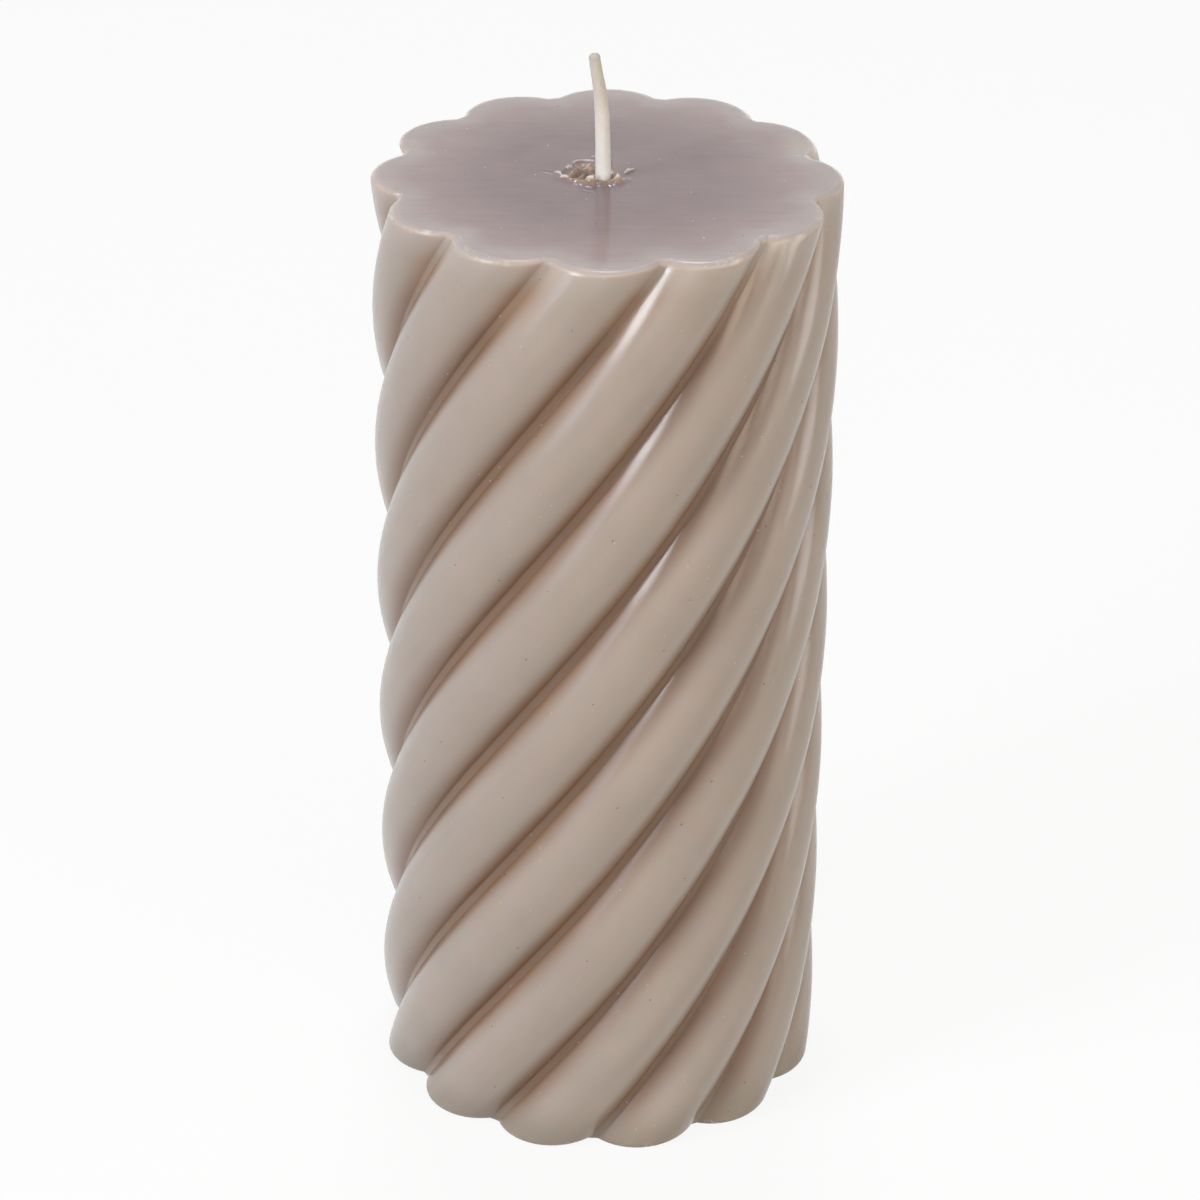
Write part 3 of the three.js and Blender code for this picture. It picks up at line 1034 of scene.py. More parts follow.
@dataclass(frozen=True)
class CastingPit:
    """Pit that the casting pin left round the wick, with the wax that broke up round it.

    All in millimetres, in plan or as heights over the flat top. A hollow has its place, its two
    half widths and its depth. Nothing is broken further than the reach from the middle.
    """

    reach: float = 21.0
    rim: tuple[Span, ...] = (
        (-6.9, 0.1), (-6.5, 1.5), (-5.8, 2.9), (-5.4, 4.0), (-4.6, 5.0), (-3.5, 5.4), (-2.3, 5.3),
        (-0.9, 4.9), (0.5, 4.0), (1.2, 2.6), (1.5, 0.9), (1.9, -0.7), (2.2, -1.8), (1.4, -2.6),
        (0.6, -3.0), (-0.6, -3.3), (-1.7, -3.2), (-2.6, -3.1), (-4.0, -2.9), (-5.4, -2.1),
        (-6.5, -1.1),
    )
    hollows: tuple[tuple[float, float, float, float, float], ...] = (
        (-2.5, 1.6, 0.6, 0.8, 1.5),
        (-1.95, 0.2, 0.5, 0.9, 1.2),
        (0.75, 0.4, 0.5, 1.4, 1.3),
    )
    ridges: tuple[Ridge, ...] = (
        Ridge(
            Broken.LIP,
            (
                (-6.9, -0.3, 0.15), (-6.3, -1.3, 0.35), (-5.5, -2.0, 0.42), (-4.4, -2.7, 0.45),
                (-3.2, -3.0, 0.55), (-2.7, -3.1, 0.95), (-2.3, -3.15, 1.05), (-1.8, -3.2, 0.7),
                (-0.7, -3.2, 0.55), (0.4, -3.0, 0.6), (1.0, -2.7, 0.75), (1.4, -2.5, 1.15),
                (1.65, -2.3, 0.6), (2.3, -1.8, 0.3), (2.5, -1.5, 0.1),
            ),
            0.5,
            1.55,
        ),
        Ridge(
            Broken.FOLD,
            ((-5.7, 0.4, 0.4), (-5.0, 1.9, 0.65), (-4.2, 3.2, 0.7), (-2.6, 3.9, 0.55)),
            0.35,
            0.7,
        ),
        Ridge(Broken.FOLD, ((-2.6, 3.9, 0.55), (-1.2, 3.5, 0.4)), 0.35, 0.7),
        Ridge(Broken.FOLD, ((-4.9, -0.7, 0.4), (-4.1, 0.9, 0.6), (-3.4, 2.3, 0.45)), 0.4, 0.6),
        Ridge(Broken.FOLD, ((-3.9, -1.4, 0.35), (-3.2, -0.3, 0.5), (-2.9, 0.6, 0.3)), 0.4, 0.45),
        Ridge(
            Broken.FLAKE,
            ((-7.6, 0.7, 0.2), (-7.2, 0.5, 0.45), (-6.5, 0.0, 0.4), (-6.2, -0.2, 0.1)),
            0.3,
            0.3,
        ),
        Ridge(Broken.FLAKE, ((-6.7, -1.6, 0.3), (-6.1, -1.7, 0.4), (-5.6, -2.0, 0.3)), 0.2, 0.25),
        Ridge(Broken.FLAKE, ((-5.9, 2.7, 0.2), (-5.6, 3.0, 0.35), (-5.2, 3.8, 0.25)), 0.25, 0.25),
        Ridge(
            Broken.FLAKE,
            ((-5.0, 4.6, 0.1), (-4.6, 5.1, 0.2), (-3.5, 5.5, 0.14), (-2.2, 5.4, 0.16)),
            0.22,
            0.3,
        ),
        Ridge(Broken.FLAKE, ((-2.4, 6.6, 0.1), (-2.0, 6.8, 0.25)), 0.25, 0.25),
        Ridge(Broken.FLAKE, ((-2.9, -3.2, 0.3), (-2.35, -3.2, 0.35), (-1.8, -3.3, 0.1)), 0.2, 0.2),
        Ridge(Broken.FLAKE, ((1.15, -2.75, 0.1), (1.4, -2.55, 0.35), (1.9, -2.3, 0.1)), 0.18, 0.18),
        Ridge(Broken.FLAKE, ((-4.0, -5.5, 0.1), (-3.0, -5.9, 0.16), (-1.8, -6.35, 0.12)), 0.2, 0.28),
        Ridge(Broken.SCORE, ((-4.0, -5.1, -0.08), (-3.0, -5.5, -0.12), (-1.8, -5.9, -0.08)), 0.25, 0.25),
        Ridge(Broken.FLAKE, ((-1.8, -6.6, 0.06), (-1.5, -8.0, 0.04)), 0.3, 0.3),
        Ridge(Broken.FLAKE, ((1.3, -4.9, 0.06), (2.4, -4.7, 0.1)), 0.22, 0.22),
        Ridge(Broken.SCORE, ((1.3, -4.5, -0.05), (2.4, -4.3, -0.08)), 0.22, 0.22),
        Ridge(Broken.FLAKE, ((2.55, 0.9, 0.22), (3.0, 1.6, 0.45), (3.8, 2.2, 0.2)), 0.3, 0.28),
        Ridge(Broken.SCORE, ((2.8, 0.5, -0.1), (3.3, 1.1, -0.14), (4.1, 1.8, -0.08)), 0.3, 0.3),
        Ridge(Broken.SCORE, ((0.6, 6.6, -0.1), (0.7, 5.2, -0.16), (0.7, 3.8, -0.2)), 0.18, 0.18),
        Ridge(Broken.SCORE, ((-9.2, 1.2, -0.06), (-7.8, 0.4, -0.1)), 0.35, 0.35),
        Ridge(Broken.SCORE, ((-5.8, 4.6, -0.14), (-5.3, 4.4, -0.14)), 0.25, 0.25),
        Ridge(Broken.SCORE, ((-1.0, -17.7, -0.1), (0.35, -17.8, -0.1)), 0.3, 0.3),
        Ridge(Broken.FLAKE, ((1.9, -9.3, 0.05), (2.9, -9.3, 0.05)), 0.3, 0.3),
    )
    shelf: float = 0.38
    shelf_fall: float = 0.35
    bowl: float = 0.95
    bowl_from: float = 0.5
    bowl_fall: float = 1.9
    flake_paleness: float = 0.65
    lip_paleness: float = 0.5

    def height_at(self, points: np.ndarray) -> tuple[np.ndarray, np.ndarray, np.ndarray]:
        """Form of the top face near the wick.

        Args:
            points: places in plan, one row each, in millimetres.

        Returns:
            The height above the flat top, how pale the broken wax is, and how far the point
            belongs to the pit, for each point.
        """
        loop = np.asarray(self.rim)
        nearest = np.full(len(points), np.inf)
        inside = np.zeros(len(points), bool)
        for a, b in zip(loop, np.roll(loop, -1, axis=0)):
            nearest = np.minimum(nearest, along_segment(points, a, b)[0])
            crosses = (a[1] > points[:, 1]) != (b[1] > points[:, 1])
            rise = b[1] - a[1] if b[1] != a[1] else 1e-9
            inside ^= crosses & (points[:, 0] < a[0] + (points[:, 1] - a[1]) * (b[0] - a[0]) / rise)
        inward = np.where(inside, nearest, 0.0)
        inward = np.maximum(inward + 0.12 * ripples(points, size=1.1, seed=5) * inside, 0.0)
        bowl = smooth((inward - self.bowl_from) / self.bowl_fall)
        height = -self.shelf * smooth(inward / self.shelf_fall) - self.bowl * bowl
        for x, y, wide, long, depth in self.hollows:
            bell = ((points[:, 0] - x) / wide) ** 2 + ((points[:, 1] - y) / long) ** 2
            height -= depth * np.exp(-(bell**1.5)) * inside
        pale = np.zeros(len(points))
        broken = np.zeros(len(points))
        for ridge in self.ridges:
            raised = ridge.height_at(points)
            height += raised
            broken = np.maximum(broken, np.abs(raised) * 2.0)
            if ridge.kind is Broken.FLAKE:
                pale = np.maximum(pale, smooth(raised / 0.25) * self.flake_paleness)
            if ridge.kind is Broken.LIP:
                pale = np.maximum(pale, smooth((raised - 0.65) / 0.5) * self.lip_paleness)
        broken = np.clip(np.maximum(broken, smooth(inward / 0.3)), 0.0, 1.0)
        coarse, fine = ripples(points, size=0.9, seed=11), ripples(points, size=0.35, seed=12)
        height += 0.07 * broken * coarse + 0.03 * broken * fine
        return height, pale, broken


@dataclass(frozen=True)
class Chip:
    """Small break in the top edge: polar angle in degrees, drop, size and depth in millimetres."""

    angle: float
    drop: float
    size: float
    depth: float


@dataclass(frozen=True)
class LowLobe:
    """Lobe at the back right that stands a little lower, with wrinkles towards its groove.

    Lengths are in millimetres. The wrinkles fan out from a point near the groove.
    """

    centre: Span = (29.5, 13.0)
    spread: float = 5.2
    sinks_from: float = 143.0
    sinks_over: float = 6.0
    drop: float = 0.42
    wrinkle: float = 0.035
    fan_at: Span = (22.0, 8.5)
    wrinkles_round: float = 30.0

    def sink(self, places: np.ndarray) -> None:
        """Moves the lobe's points down.

        Args:
            places: the skin's points, one row each, in millimetres.
        """
        x, y, z = places[:, 0], places[:, 1], places[:, 2]
        sag = np.exp(-(((x - self.centre[0]) ** 2 + (y - self.centre[1]) ** 2) / self.spread**2))
        sag *= smooth((z - self.sinks_from) / self.sinks_over)
        fan = np.degrees(np.arctan2(y - self.fan_at[1], x - self.fan_at[0]))
        uneven = 1.0 + 0.5 * ripples(places, size=4.0, seed=71)
        creases = np.sin(np.radians(fan * self.wrinkles_round)) * uneven
        places[:, 2] -= sag * (self.drop + self.wrinkle * creases)


@dataclass
class WaxBody:
    """Cast wax body: twelve round lobes that wind up it, and the pit round the wick on top.

    The seat of the sustainer is in millimetres: radius and height. The wall's levels lie closer in
    the bands at its foot and head. The shares say how far a ring keeps to the lobes, from the top's
    edge inwards and from under the base outwards.
    """

    wick_at: Span = WICK_AT
    height: float = 150 * MM
    crest: float = 34.35 * MM
    draft: float = 0.35 * MM
    lobes: int = 12
    lobe_radius: float = 9 * MM
    fillet: float = 1 * MM
    floor_roundness: float = 0.2
    turn: float = math.radians(197)
    first_lobe: float = math.radians(0.5)
    top_edge: float = 0.9 * MM
    base_edge: float = 1.1 * MM
    bore: float = 1.2 * MM
    bore_top: float = 146 * MM
    seat: tuple[Span, ...] = (
        (2.1, 7.75), (2.7, 1.75), (5.0, 1.75), (5.6, 0.95), (7.8, 0.95), (7.8, 0.0),
    )
    unevenness: float = 0.28 * MM
    lobe_steps: int = 22
    valley_steps: int = 8
    foot_band: float = 4 * MM
    head_band: float = 6 * MM
    foot_levels: int = 4
    wall_levels: int = 104
    head_levels: int = 15
    edge_levels: int = 8
    ring_radius: float = 12 * MM
    top_rings: int = 55
    bore_rings: int = 18
    top_shares: tuple[float, ...] = (
        0.985, 0.965, 0.935, 0.9, 0.85, 0.78, 0.68, 0.56, 0.44, 0.32, 0.2, 0.1,
    )
    base_shares: tuple[float, ...] = (0.06, 0.18, 0.35, 0.55, 0.75, 0.9, 1)
    pit: CastingPit = CastingPit()
    low_lobe: LowLobe = LowLobe()
    chips: tuple[Chip, ...] = (
        Chip(-166.2, 0.2, 0.8, 0.18),
        Chip(-155.0, 0.4, 0.7, 0.16),
        Chip(-141.2, 0.2, 0.8, 0.14),
        Chip(-58.5, 0.3, 0.7, 0.14),
        Chip(-36.3, 0.5, 0.7, 0.14),
        Chip(15.8, 0.3, 1.0, 0.22),
        Chip(75.0, 0.3, 0.7, 0.16),
        Chip(133.0, 0.2, 0.7, 0.16),
    )

    def profile(self) -> np.ndarray:
        """Closed profile of the skin.

        Returns:
            A row of radius, height, inset and lobed share for each point, from the foot of the
            wall up, over the top, down the pit and the wick's bore, and out under the base.
        """
        arc = np.linspace(0, math.pi / 2, self.edge_levels + 1)
        base, top, edge = self.base_edge, self.height, self.top_edge
        low, high = self.foot_band, top - self.head_band
        seat_top, seat_radius = self.seat[0][1] * MM, self.seat[-1][0] * MM
        foot = np.linspace(base, low, self.foot_levels + 1)
        middle = np.linspace(low, high, self.wall_levels + 1)
        head = np.linspace(high, top - edge, self.head_levels + 1)
        rings = np.linspace(self.ring_radius, self.bore, self.top_rings)
        rows = [(0, z, 0, 1) for z in (*foot[:-1], *middle[:-1], *head)]
        rows += [(0, top - edge * (1 - math.sin(a)), edge * (1 - math.cos(a)), 1) for a in arc[1:]]
        rows += [(self.ring_radius, top, edge, share) for share in self.top_shares]
        rows += [(r, top, 0, 0) for r in rings]
        rows += [(self.bore, z, 0, 0) for z in np.linspace(self.bore_top, seat_top, self.bore_rings)]
        rows += [(r * MM, z * MM, 0, 0) for r, z in self.seat]
        rows += [(seat_radius, 0, base, share) for share in self.base_shares]
        rows += [(0, base * (1 - math.cos(a)), base * (1 - math.sin(a)), 1) for a in arc[1:-1]]
        return np.asarray(rows, float)

    def build(self, effects: Effects) -> bpy.types.Object:
        """Builds the body in its finish.

        Args:
            effects: the shared effects.

        Returns:
            The piece.
        """
        values = {
            "Lobes": float(self.lobes),
            "Lobe Steps": float(self.lobe_steps),
            "Valley Steps": float(self.valley_steps),
            "Lobe Radius": self.lobe_radius,
            "Valley Fillet": self.fillet,
            "Floor Roundness": self.floor_roundness,
            "Crest Radius": self.crest,
            "Draft": self.draft,
            "Height": self.height,
            "Swirl Turn": self.turn,
            "First Lobe": self.first_lobe,
            "Ring Centre": (*self.wick_at, 0.0),
            "Unevenness": self.unevenness,
            "Finish": WaxFinish().material(effects),
        }
        piece = swept("swirl_wax_body", self.profile(), values)
        self.sculpt(piece.data)
        return piece

    def sculpt(self, mesh: bpy.types.Mesh) -> None:
        """Breaks the pit open, chips the top edge and sinks the low lobe at the back.

        Args:
            mesh: the body's plain mesh.
        """
        count = len(mesh.vertices)
        places = np.zeros(count * 3, np.float32)
        mesh.vertices.foreach_get("co", places)
        places = places.reshape(-1, 3).astype(float) / MM
        pale = np.zeros(count)
        broken = np.zeros(count)
        top = self.height / MM
        near = np.abs(places[:, 2] - top) < 0.02
        near &= np.hypot(places[:, 0], places[:, 1]) < self.pit.reach
        height, pale[near], broken[near] = self.pit.height_at(places[near, :2])
        places[near, 2] = top + height
        pale = np.maximum(pale, self.chip_edge(places))
        self.low_lobe.sink(places)
        mesh.vertices.foreach_set("co", (places * MM).astype(np.float32).ravel())
        for label, values in (("chip", pale), ("broken", broken)):
            layer = mesh.attributes.new(label, "FLOAT", "POINT")
            layer.data.foreach_set("value", values.astype(np.float32))
        mesh.update()

    def chip_edge(self, places: np.ndarray) -> np.ndarray:
        """Breaks the chips out of the top edge.

        Args:
            places: the skin's points, one row each, in millimetres, which are moved.

        Returns:
            How pale the fresh break is at each point.
        """
        top = self.height / MM
        pale = np.zeros(len(places))
        polar = np.degrees(np.arctan2(places[:, 1], places[:, 0]))
        reach = np.hypot(places[:, 0], places[:, 1])
        for number, chip in enumerate(self.chips):
            # The point of the edge that lies nearest, and not one of the top's inner rings.
            turn = np.abs((polar - chip.angle + 180) % 360 - 180)
            miss = turn + 4.0 * np.abs(places[:, 2] - (top - chip.drop)) + 40.0 * (reach < 26)
            spot = places[np.argmin(miss - 0.3 * reach * (turn < 0.8))]
            away = places - spot
            away[:, 2] *= 1.3
            bite = 1.0 - smooth(np.linalg.norm(away, axis=1) / chip.size)
            jag = 1.0 + 0.5 * ripples(places, size=0.5, seed=40 + number)
            outward = places[:, :2] / np.maximum(reach, 1e-6)[:, None]
            places[:, :2] -= outward * (bite * chip.depth * jag)[:, None]
            places[:, 2] -= bite * chip.depth * 0.6 * jag * (places[:, 2] > top - 0.6)
            pale = np.maximum(pale, smooth((bite - 0.35) / 0.5) * 0.7)
        return pale


@dataclass
class Wick:
    """Braided cotton wick primed with wax, from the sustainer up through the body.

    A bend has its height over the top face, its place along X and the wick's radius there, in
    millimetres. Of the other heights over the top face, one ends the coarse part of the line, and
    two spans say where the wick leaves its foot's place and where the braid sets in.
    """

    foot: tuple[float, float, float] = (*WICK_AT, 1.1 * MM)
    radius: float = 1.15 * MM
    bead: float = 0.55 * MM
    top: float = WaxBody.height
    sides: int = 48
    hidden_levels: int = 40
    shown_levels: int = 190
    strands: int = 8
    braid_pitch: float = 2.6 * MM
    braid_relief: float = 0.05 * MM
    unevenness: float = 0.10 * MM
    coarse_to: float = -3.2
    leaves_foot: Span = (-30.0, -3.0)
    bare_from: Span = (7.0, 11.0)
    bends: tuple[tuple[float, float, float], ...] = (
        (-3.0, -0.66, 1.15),
        (0.0, -0.56, 1.15),
        (2.0, -0.62, 1.12),
        (4.2, -0.67, 1.09),
        (5.9, -0.71, 1.085),
        (8.9, -0.80, 1.06),
        (11.3, -0.95, 1.01),
        (13.6, -1.19, 0.96),
        (16.7, -1.70, 0.85),
        (19.3, -2.10, 0.80),
    )

    def line(self) -> tuple[np.ndarray, dict[str, np.ndarray]]:
        """Centreline with what each of its points carries.

        Returns:
            The places, and the radius, lean, length and bare share of the braid at each.
        """
        bends = np.asarray(self.bends)
        lowest, tip = bends[0, 0], bends[-1, 0]
        hidden = np.linspace(self.foot[2], self.top + self.coarse_to * MM, self.hidden_levels)
        shown = self.top + np.linspace(lowest, tip, self.shown_levels) * MM
        heights = np.concatenate((hidden, shown))
        above = (heights - self.top) / MM
        buried = above < lowest
        x = smooth_through(bends[:, 0], bends[:, 1], above) * MM
        radius = smooth_through(bends[:, 0], bends[:, 2], above) * MM
        x = np.where(buried, self.foot[0], x)
        start, end = self.leaves_foot
        x += (bends[0, 1] * MM - self.foot[0]) * smooth((above - start) / (end - start)) * buried
        radius = np.where(buried, self.radius, radius)
        points = np.column_stack((x, np.full(len(x), self.foot[1]), heights))
        steps = np.linalg.norm(np.diff(points, axis=0), axis=1)
        length = np.concatenate(([0.0], np.cumsum(steps)))
        lean = np.arctan2(-np.gradient(x), np.gradient(heights))
        lean[buried] = 0.0

        # A bead of wax rounds the cut end, and the braid shows through the wax higher up.
        left = np.clip((length[-1] - length) / self.bead, 0, 1)
        rounding = np.sqrt(np.clip(1.0 - (1.0 - left) ** 2, 0.0, 1.0))
        radius = radius * (0.25 + 0.75 * rounding)
        start, end = self.bare_from
        bare = 0.25 + 0.75 * smooth((above - start) / (end - start))
        points = np.vstack((points[:1], points, points[-1:]))
        carried = {"radius": radius, "lean": lean, "length": length, "bare": bare}
        carried = {k: np.concatenate((v[:1], v, v[-1:])) for k, v in carried.items()}
        carried["radius"][[0, -1]] = 0.0
        carried["bare"][[0, -1]] = 0.0
        return points, carried

    def build(self, effects: Effects) -> bpy.types.Object:
        """Builds the wick in its finish.

        Args:
            effects: the shared effects.

        Returns:
            The piece.
        """
        points, carried = self.line()
        values = {
            "Sides": float(self.sides),
            "Levels": float(len(points)),
            "Strands": float(self.strands),
            "Braid Pitch": self.braid_pitch,
            "Braid Relief": self.braid_relief,
            "Unevenness": self.unevenness,
            "Finish": CottonFinish().material(effects),
        }
        line = profile_mesh("wick_line", points, carried)
        return grow("waxed_wick", line, braid_tree(), values, crease=math.radians(70))


def smooth_through(at: np.ndarray, values: np.ndarray, wanted: np.ndarray) -> np.ndarray:
    """Curve through values that doesn't turn sharply at them.

    Args:
        at: where the values are known, in rising order.
        values: the values there.
        wanted: where the curve is read.

    Returns:
        The curve's value at each place wanted.
    """
    slopes = np.gradient(values, at)
    place = np.clip(np.searchsorted(at, wanted) - 1, 0, len(at) - 2)
    run = at[place + 1] - at[place]
    t = np.clip((wanted - at[place]) / run, 0.0, 1.0)
    start = (2 * t**3 - 3 * t**2 + 1) * values[place] + (t**3 - 2 * t**2 + t) * run * slopes[place]
    end = (3 * t**2 - 2 * t**3) * values[place + 1] + (t**3 - t**2) * run * slopes[place + 1]
    return start + end


@dataclass
class Sustainer:
    """Pressed tab of tin-plated sheet, with a neck that grips the wick's foot."""

    centre: Span = WICK_AT
    tab_radius: float = 7.5 * MM
    flange_inner: float = 5.3 * MM
    step_inner: float = 4.7 * MM
    sheet: float = 0.35 * MM
    under: float = 0.3 * MM
    middle_under: float = 1.1 * MM
    neck_root: float = 2.05 * MM
    neck_radius: float = 1.8 * MM
    neck_top: float = 7.45 * MM
    bore: float = 1.45 * MM
    bend: float = 0.09 * MM
    bend_steps: int = 4
    lobe_steps: int = 6
    valley_steps: int = 2

    def outline(self) -> np.ndarray:
        """Closed outline of the sheet, with its bends rounded.

        Returns:
            A row of radius and height for each point.
        """
        over, middle = self.under + self.sheet, self.middle_under + self.sheet
        corners = [
            (self.bore, self.neck_top),
            (self.bore, middle),
            (self.bore + self.sheet, self.middle_under),
            (self.step_inner, self.middle_under),
            (self.flange_inner, self.under),
            (self.tab_radius, self.under),
            (self.tab_radius, over),
            (self.flange_inner, over),
            (self.step_inner, middle),
            (self.neck_root + self.sheet, middle),
            (self.neck_root, middle + self.sheet),
            (self.neck_radius, self.neck_top),
        ]
        return rounded_loop(np.asarray(corners), self.bend, self.bend_steps)

    def build(self, effects: Effects) -> bpy.types.Object:
        """Builds the sustainer in its finish.

        Args:
            effects: the shared effects.

        Returns:
            The piece.
        """
        outline = self.outline()
        plain = np.zeros((len(outline), 2))
        # A plain ring has no lobes, but the tree still works out their outline.
        values = {
            "Lobes": float(WaxBody.lobes),
            "Lobe Steps": float(self.lobe_steps),
            "Valley Steps": float(self.valley_steps),
            "Lobe Radius": WaxBody.lobe_radius,
            "Valley Fillet": WaxBody.fillet,
            "Crest Radius": WaxBody.crest,
            "Height": WaxBody.height,
            "Ring Centre": (*self.centre, 0.0),
            "Finish": TinFinish().material(effects),
        }
        return swept("tin_sustainer", np.column_stack((outline, plain)), values)


def rounded_loop(corners: np.ndarray, radius: float, steps: int) -> np.ndarray:
    """Closed outline with each corner eased by a short curve.

    Args:
        corners: the corners, one row each.
        radius: how far from a corner its curve starts.
        steps: points of each curve, less one.

    Returns:
        The points of the eased outline.
    """
    points = []
    for before, corner, after in zip(np.roll(corners, 1, 0), corners, np.roll(corners, -1, 0)):
        reach = min(radius, *(0.45 * np.linalg.norm(side - corner) for side in (before, after)))
        start = corner + (before - corner) / np.linalg.norm(before - corner) * reach
        end = corner + (after - corner) / np.linalg.norm(after - corner) * reach
        for t in np.linspace(0, 1, steps + 1):
            points.append((1 - t) ** 2 * start + 2 * t * (1 - t) * corner + t**2 * end)
    return np.asarray(points)


# Studio.


class Ray(Enum):
    """Rays that see the plain white backdrop."""

    CAMERA = "Is Camera Ray"
    GLOSSY = "Is Glossy Ray"
    TRANSMISSION = "Is Transmission Ray"


def sees_backdrop(bench: Bench) -> Field:
    """Tells the rays that see the white backdrop from those that light the object.

    Args:
        bench: the bench of the backdrop or of the floor.

    Returns:
        1 for a ray that sees the backdrop, and otherwise 0.
    """
    path = bench.add("ShaderNodeLightPath")
    seen = [bench.out(path, ray.value) for ray in Ray]
    return seen[0].math("MAXIMUM", seen[1]).math("MAXIMUM", seen[2])


@dataclass(frozen=True)
class SoftLight:
    """Soft box that faces the object from a direction.

    The azimuth is in degrees from the camera's side towards the left, the elevation in degrees
    above the floor, and the width and height in metres.
    """

    name: str
    azimuth: float
    elevation: float
    width: float
    height: float
    watts: float
    colour: Colour = WHITE
    distance: float = 1.3

    def build(self, target: Vector) -> None:
        """Hangs the light.

        Args:
            target: the place that it faces.
        """
        turn, rise = math.radians(self.azimuth), math.radians(self.elevation)
        level = self.distance * math.cos(rise)
        lift = self.distance * math.sin(rise)
        away = Vector((-level * math.sin(turn), -level * math.cos(turn), lift))
        lamp = bpy.data.lights.new(self.name, "AREA")
        lamp.shape = "RECTANGLE"
        lamp.size, lamp.size_y = self.width, self.height
        lamp.energy = self.watts
        lamp.color = self.colour
        holder = bpy.data.objects.new(self.name, lamp)
        holder.location = target + away
        holder.rotation_euler = away.to_track_quat("Z", "Y").to_euler()
        bpy.context.scene.collection.objects.link(holder)


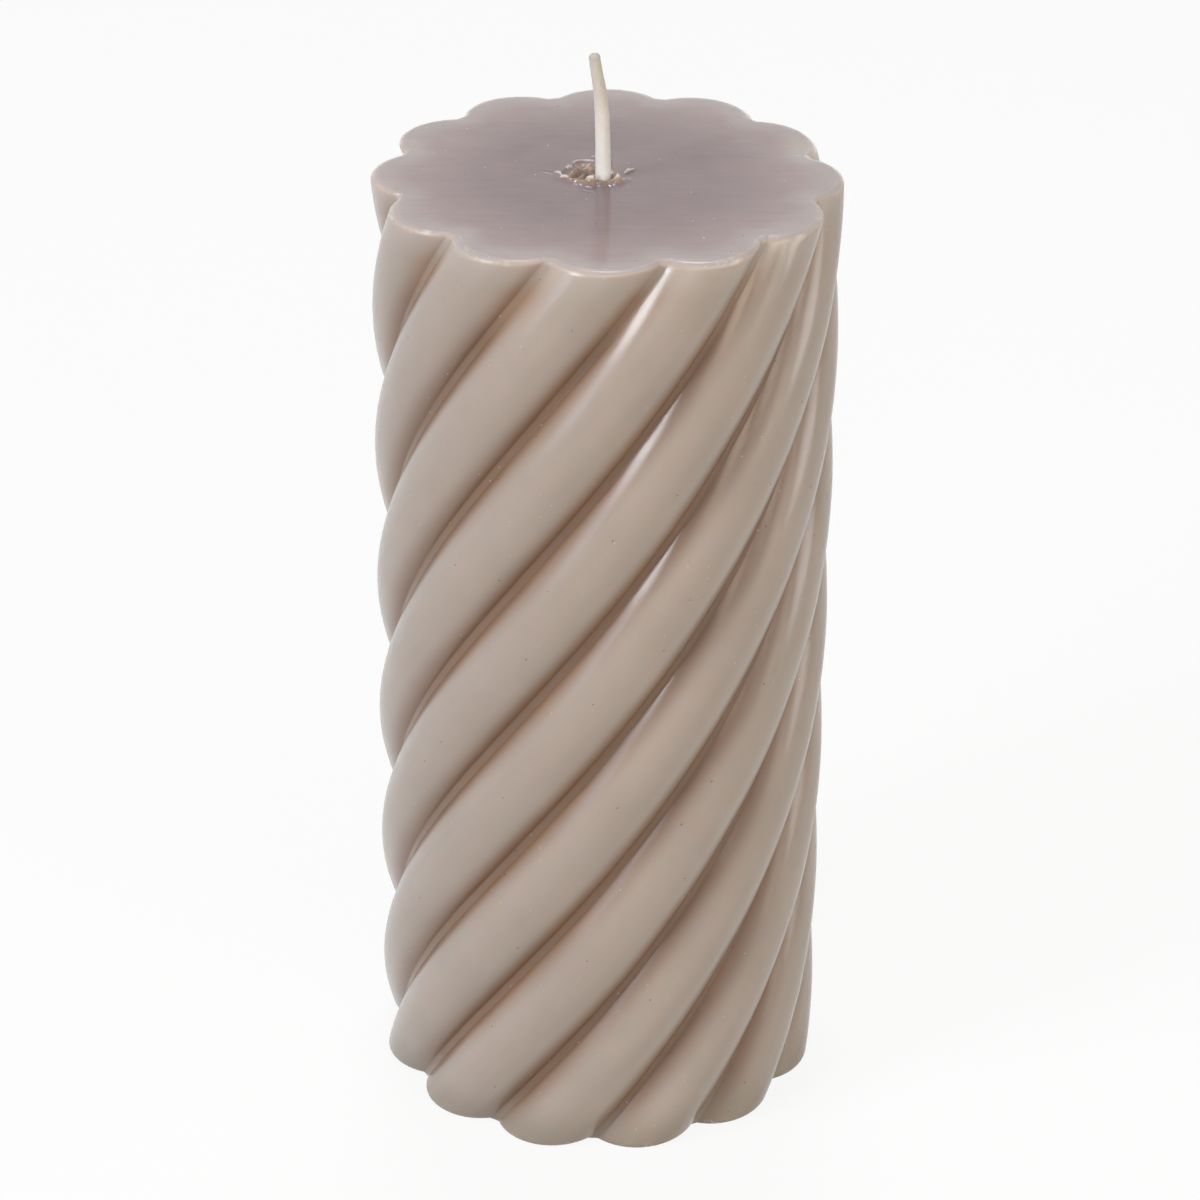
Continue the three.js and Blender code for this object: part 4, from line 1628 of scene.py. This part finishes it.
@dataclass
class Studio:
    """Plain pale floor, white backdrop and soft lights."""

    ambient: float = 0.12
    lit_height: float = 80 * MM
    glow: float = 0.88
    floor_radius: float = 3.0
    floor_level: float = -0.02 * MM
    floor_colour: Colour = (0.95, 0.95, 0.95)
    floor_bounce: Colour = (0.34, 0.33, 0.32)
    lights: tuple[SoftLight, ...] = (
        SoftLight("left_key", 50, 22, 0.38, 0.26, 5.9, (0.90, 0.94, 1.0)),
        SoftLight("left_high", 64, 38, 0.30, 0.30, 4.0, (0.95, 0.97, 1.0)),
        SoftLight("left_low", 60, 8, 0.50, 0.30, 1.0, (0.65, 0.78, 1.0)),
        SoftLight("front_fill", 0, 28, 0.35, 0.35, 2.2, (1.0, 0.87, 0.72)),
        SoftLight("right_front", -25, 28, 0.35, 0.35, 1.8, (1.0, 0.95, 0.86)),
        SoftLight("right_bank", -50, 28, 0.35, 0.35, 1.9, (1.0, 1.0, 0.92)),
        SoftLight("right_near", -45, 10, 0.35, 0.35, 0.8, (1.0, 0.97, 0.85)),
        SoftLight("right_low", -70, 8, 0.50, 0.35, 2.7, (0.98, 0.99, 1.0)),
        SoftLight("overhead", 180, 74, 0.35, 0.35, 5.4, (1.0, 0.99, 0.98)),
        SoftLight("rear_left", 166, 6, 0.80, 0.25, 0.9),
        SoftLight("rear_right", -166, 6, 0.80, 0.25, 0.9),
    )

    def build(self) -> None:
        """Lays the floor, lights the scene and sets the view's colours."""
        self.lay_floor()
        world = bpy.data.worlds.new("backdrop")
        world.use_nodes = True
        world.node_tree.nodes.clear()
        bench = Bench(world.node_tree)
        strength = bench.mix(sees_backdrop(bench), self.ambient, 1.0)
        light = bench.add("ShaderNodeBackground", {"Color": WHITE, "Strength": strength})
        bench.add("ShaderNodeOutputWorld", {"Surface": light.outputs[0]})
        scene = bpy.context.scene
        scene.world = world
        scene.view_settings.view_transform = "Standard"
        for soft_light in self.lights:
            soft_light.build(Vector((0.0, 0.0, self.lit_height)))

    def lay_floor(self) -> None:
        """Lays a wide disc of pale board that keeps the object's shadow."""
        around = 96
        angles = [TURN * i / around for i in range(around)]
        rings = (self.floor_radius, self.floor_radius / 10)
        points = [(r * math.cos(a), r * math.sin(a), self.floor_level) for r in rings for a in angles]
        points.append((0.0, 0.0, self.floor_level))
        faces = [(i, (i + 1) % around, around + (i + 1) % around, around + i) for i in range(around)]
        faces += [(around + i, around + (i + 1) % around, 2 * around) for i in range(around)]
        mesh = bpy.data.meshes.new("floor")
        mesh.from_pydata(points, [], faces)
        mesh.materials.append(self.board())
        floor = bpy.data.objects.new("floor", mesh)
        bpy.context.scene.collection.objects.link(floor)

    def board(self) -> bpy.types.Material:
        """Matt board that glows where the camera sees it, but not on the object.

        Returns:
            The material.
        """
        bench = new_material("pale_board")
        place = bench.add("ShaderNodeTexCoord").outputs["Object"]
        cloud = bench.noise(place, size=0.4, detail=2.0)
        seen = sees_backdrop(bench)
        colour = bench.blend(seen, self.floor_bounce, self.floor_colour)
        colour = bench.toned(colour, bench.mix(cloud, 0.985, 1.0))
        inputs = {"Base Color": colour, "Roughness": 0.9, "Specular IOR Level": 0.0}
        board = bench.add("ShaderNodeBsdfPrincipled", inputs)
        glow = bench.add("ShaderNodeEmission", {"Color": WHITE, "Strength": 1.0})
        inputs = {0: seen * self.glow, 1: board.outputs[0], 2: glow.outputs[0]}
        mixed = bench.add("ShaderNodeMixShader", inputs)
        bench.add("ShaderNodeOutputMaterial", {"Surface": mixed.outputs[0]})
        return bpy.data.materials["pale_board"]


@dataclass(frozen=True)
class Viewpoint:
    """Camera that looks down at the candle."""

    aim: tuple[float, float, float] = (-0.389 * MM, 0.0, 79.454 * MM)
    distance: float = 594.455 * MM
    down: float = math.radians(29.177)
    roll: float = math.radians(0.624)
    lens: float = 115.9
    sensor: float = 36.0

    def build(self) -> None:
        """Sets up the scene's camera."""
        forward = Vector((0.0, math.cos(self.down), -math.sin(self.down)))
        level = Vector((1.0, 0.0, 0.0))
        up = level.cross(forward)
        x = level * math.cos(self.roll) + up * math.sin(self.roll)
        y = up * math.cos(self.roll) - level * math.sin(self.roll)
        turn = Matrix((x, y, -forward)).transposed().to_4x4()
        data = bpy.data.cameras.new("camera")
        data.lens = self.lens
        data.sensor_width = self.sensor
        data.clip_start = 0.01
        camera = bpy.data.objects.new("camera", data)
        place = Vector(self.aim) - forward * self.distance
        camera.matrix_world = Matrix.Translation(place) @ turn
        bpy.context.scene.collection.objects.link(camera)
        bpy.context.scene.camera = camera


def report(piece: bpy.types.Object, nodes: Iterable[str], slot: str) -> None:
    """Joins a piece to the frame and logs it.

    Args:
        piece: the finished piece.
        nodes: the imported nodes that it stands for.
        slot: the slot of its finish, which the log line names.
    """
    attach(piece, "root")
    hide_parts(*nodes)
    sides = sum(len(face.vertices) - 2 for face in piece.data.polygons)
    log.info("%s: %d triangles, finish %s", piece.name, sides, slot)


def main() -> None:
    """Builds the candle and the studio round it, and notes the sizes."""
    logging.basicConfig(level=logging.INFO, format="%(name)s: %(message)s")
    effects = Effects()
    report(WaxBody().build(effects), ["wax_body"], "wax")
    report(Wick().build(effects), ["wick"], "waxed_cotton")
    report(Sustainer().build(effects), ["wick_sustainer"], "tin_plate")
    Studio().build()
    Viewpoint().build()


if __name__ == "__main__":
    main()
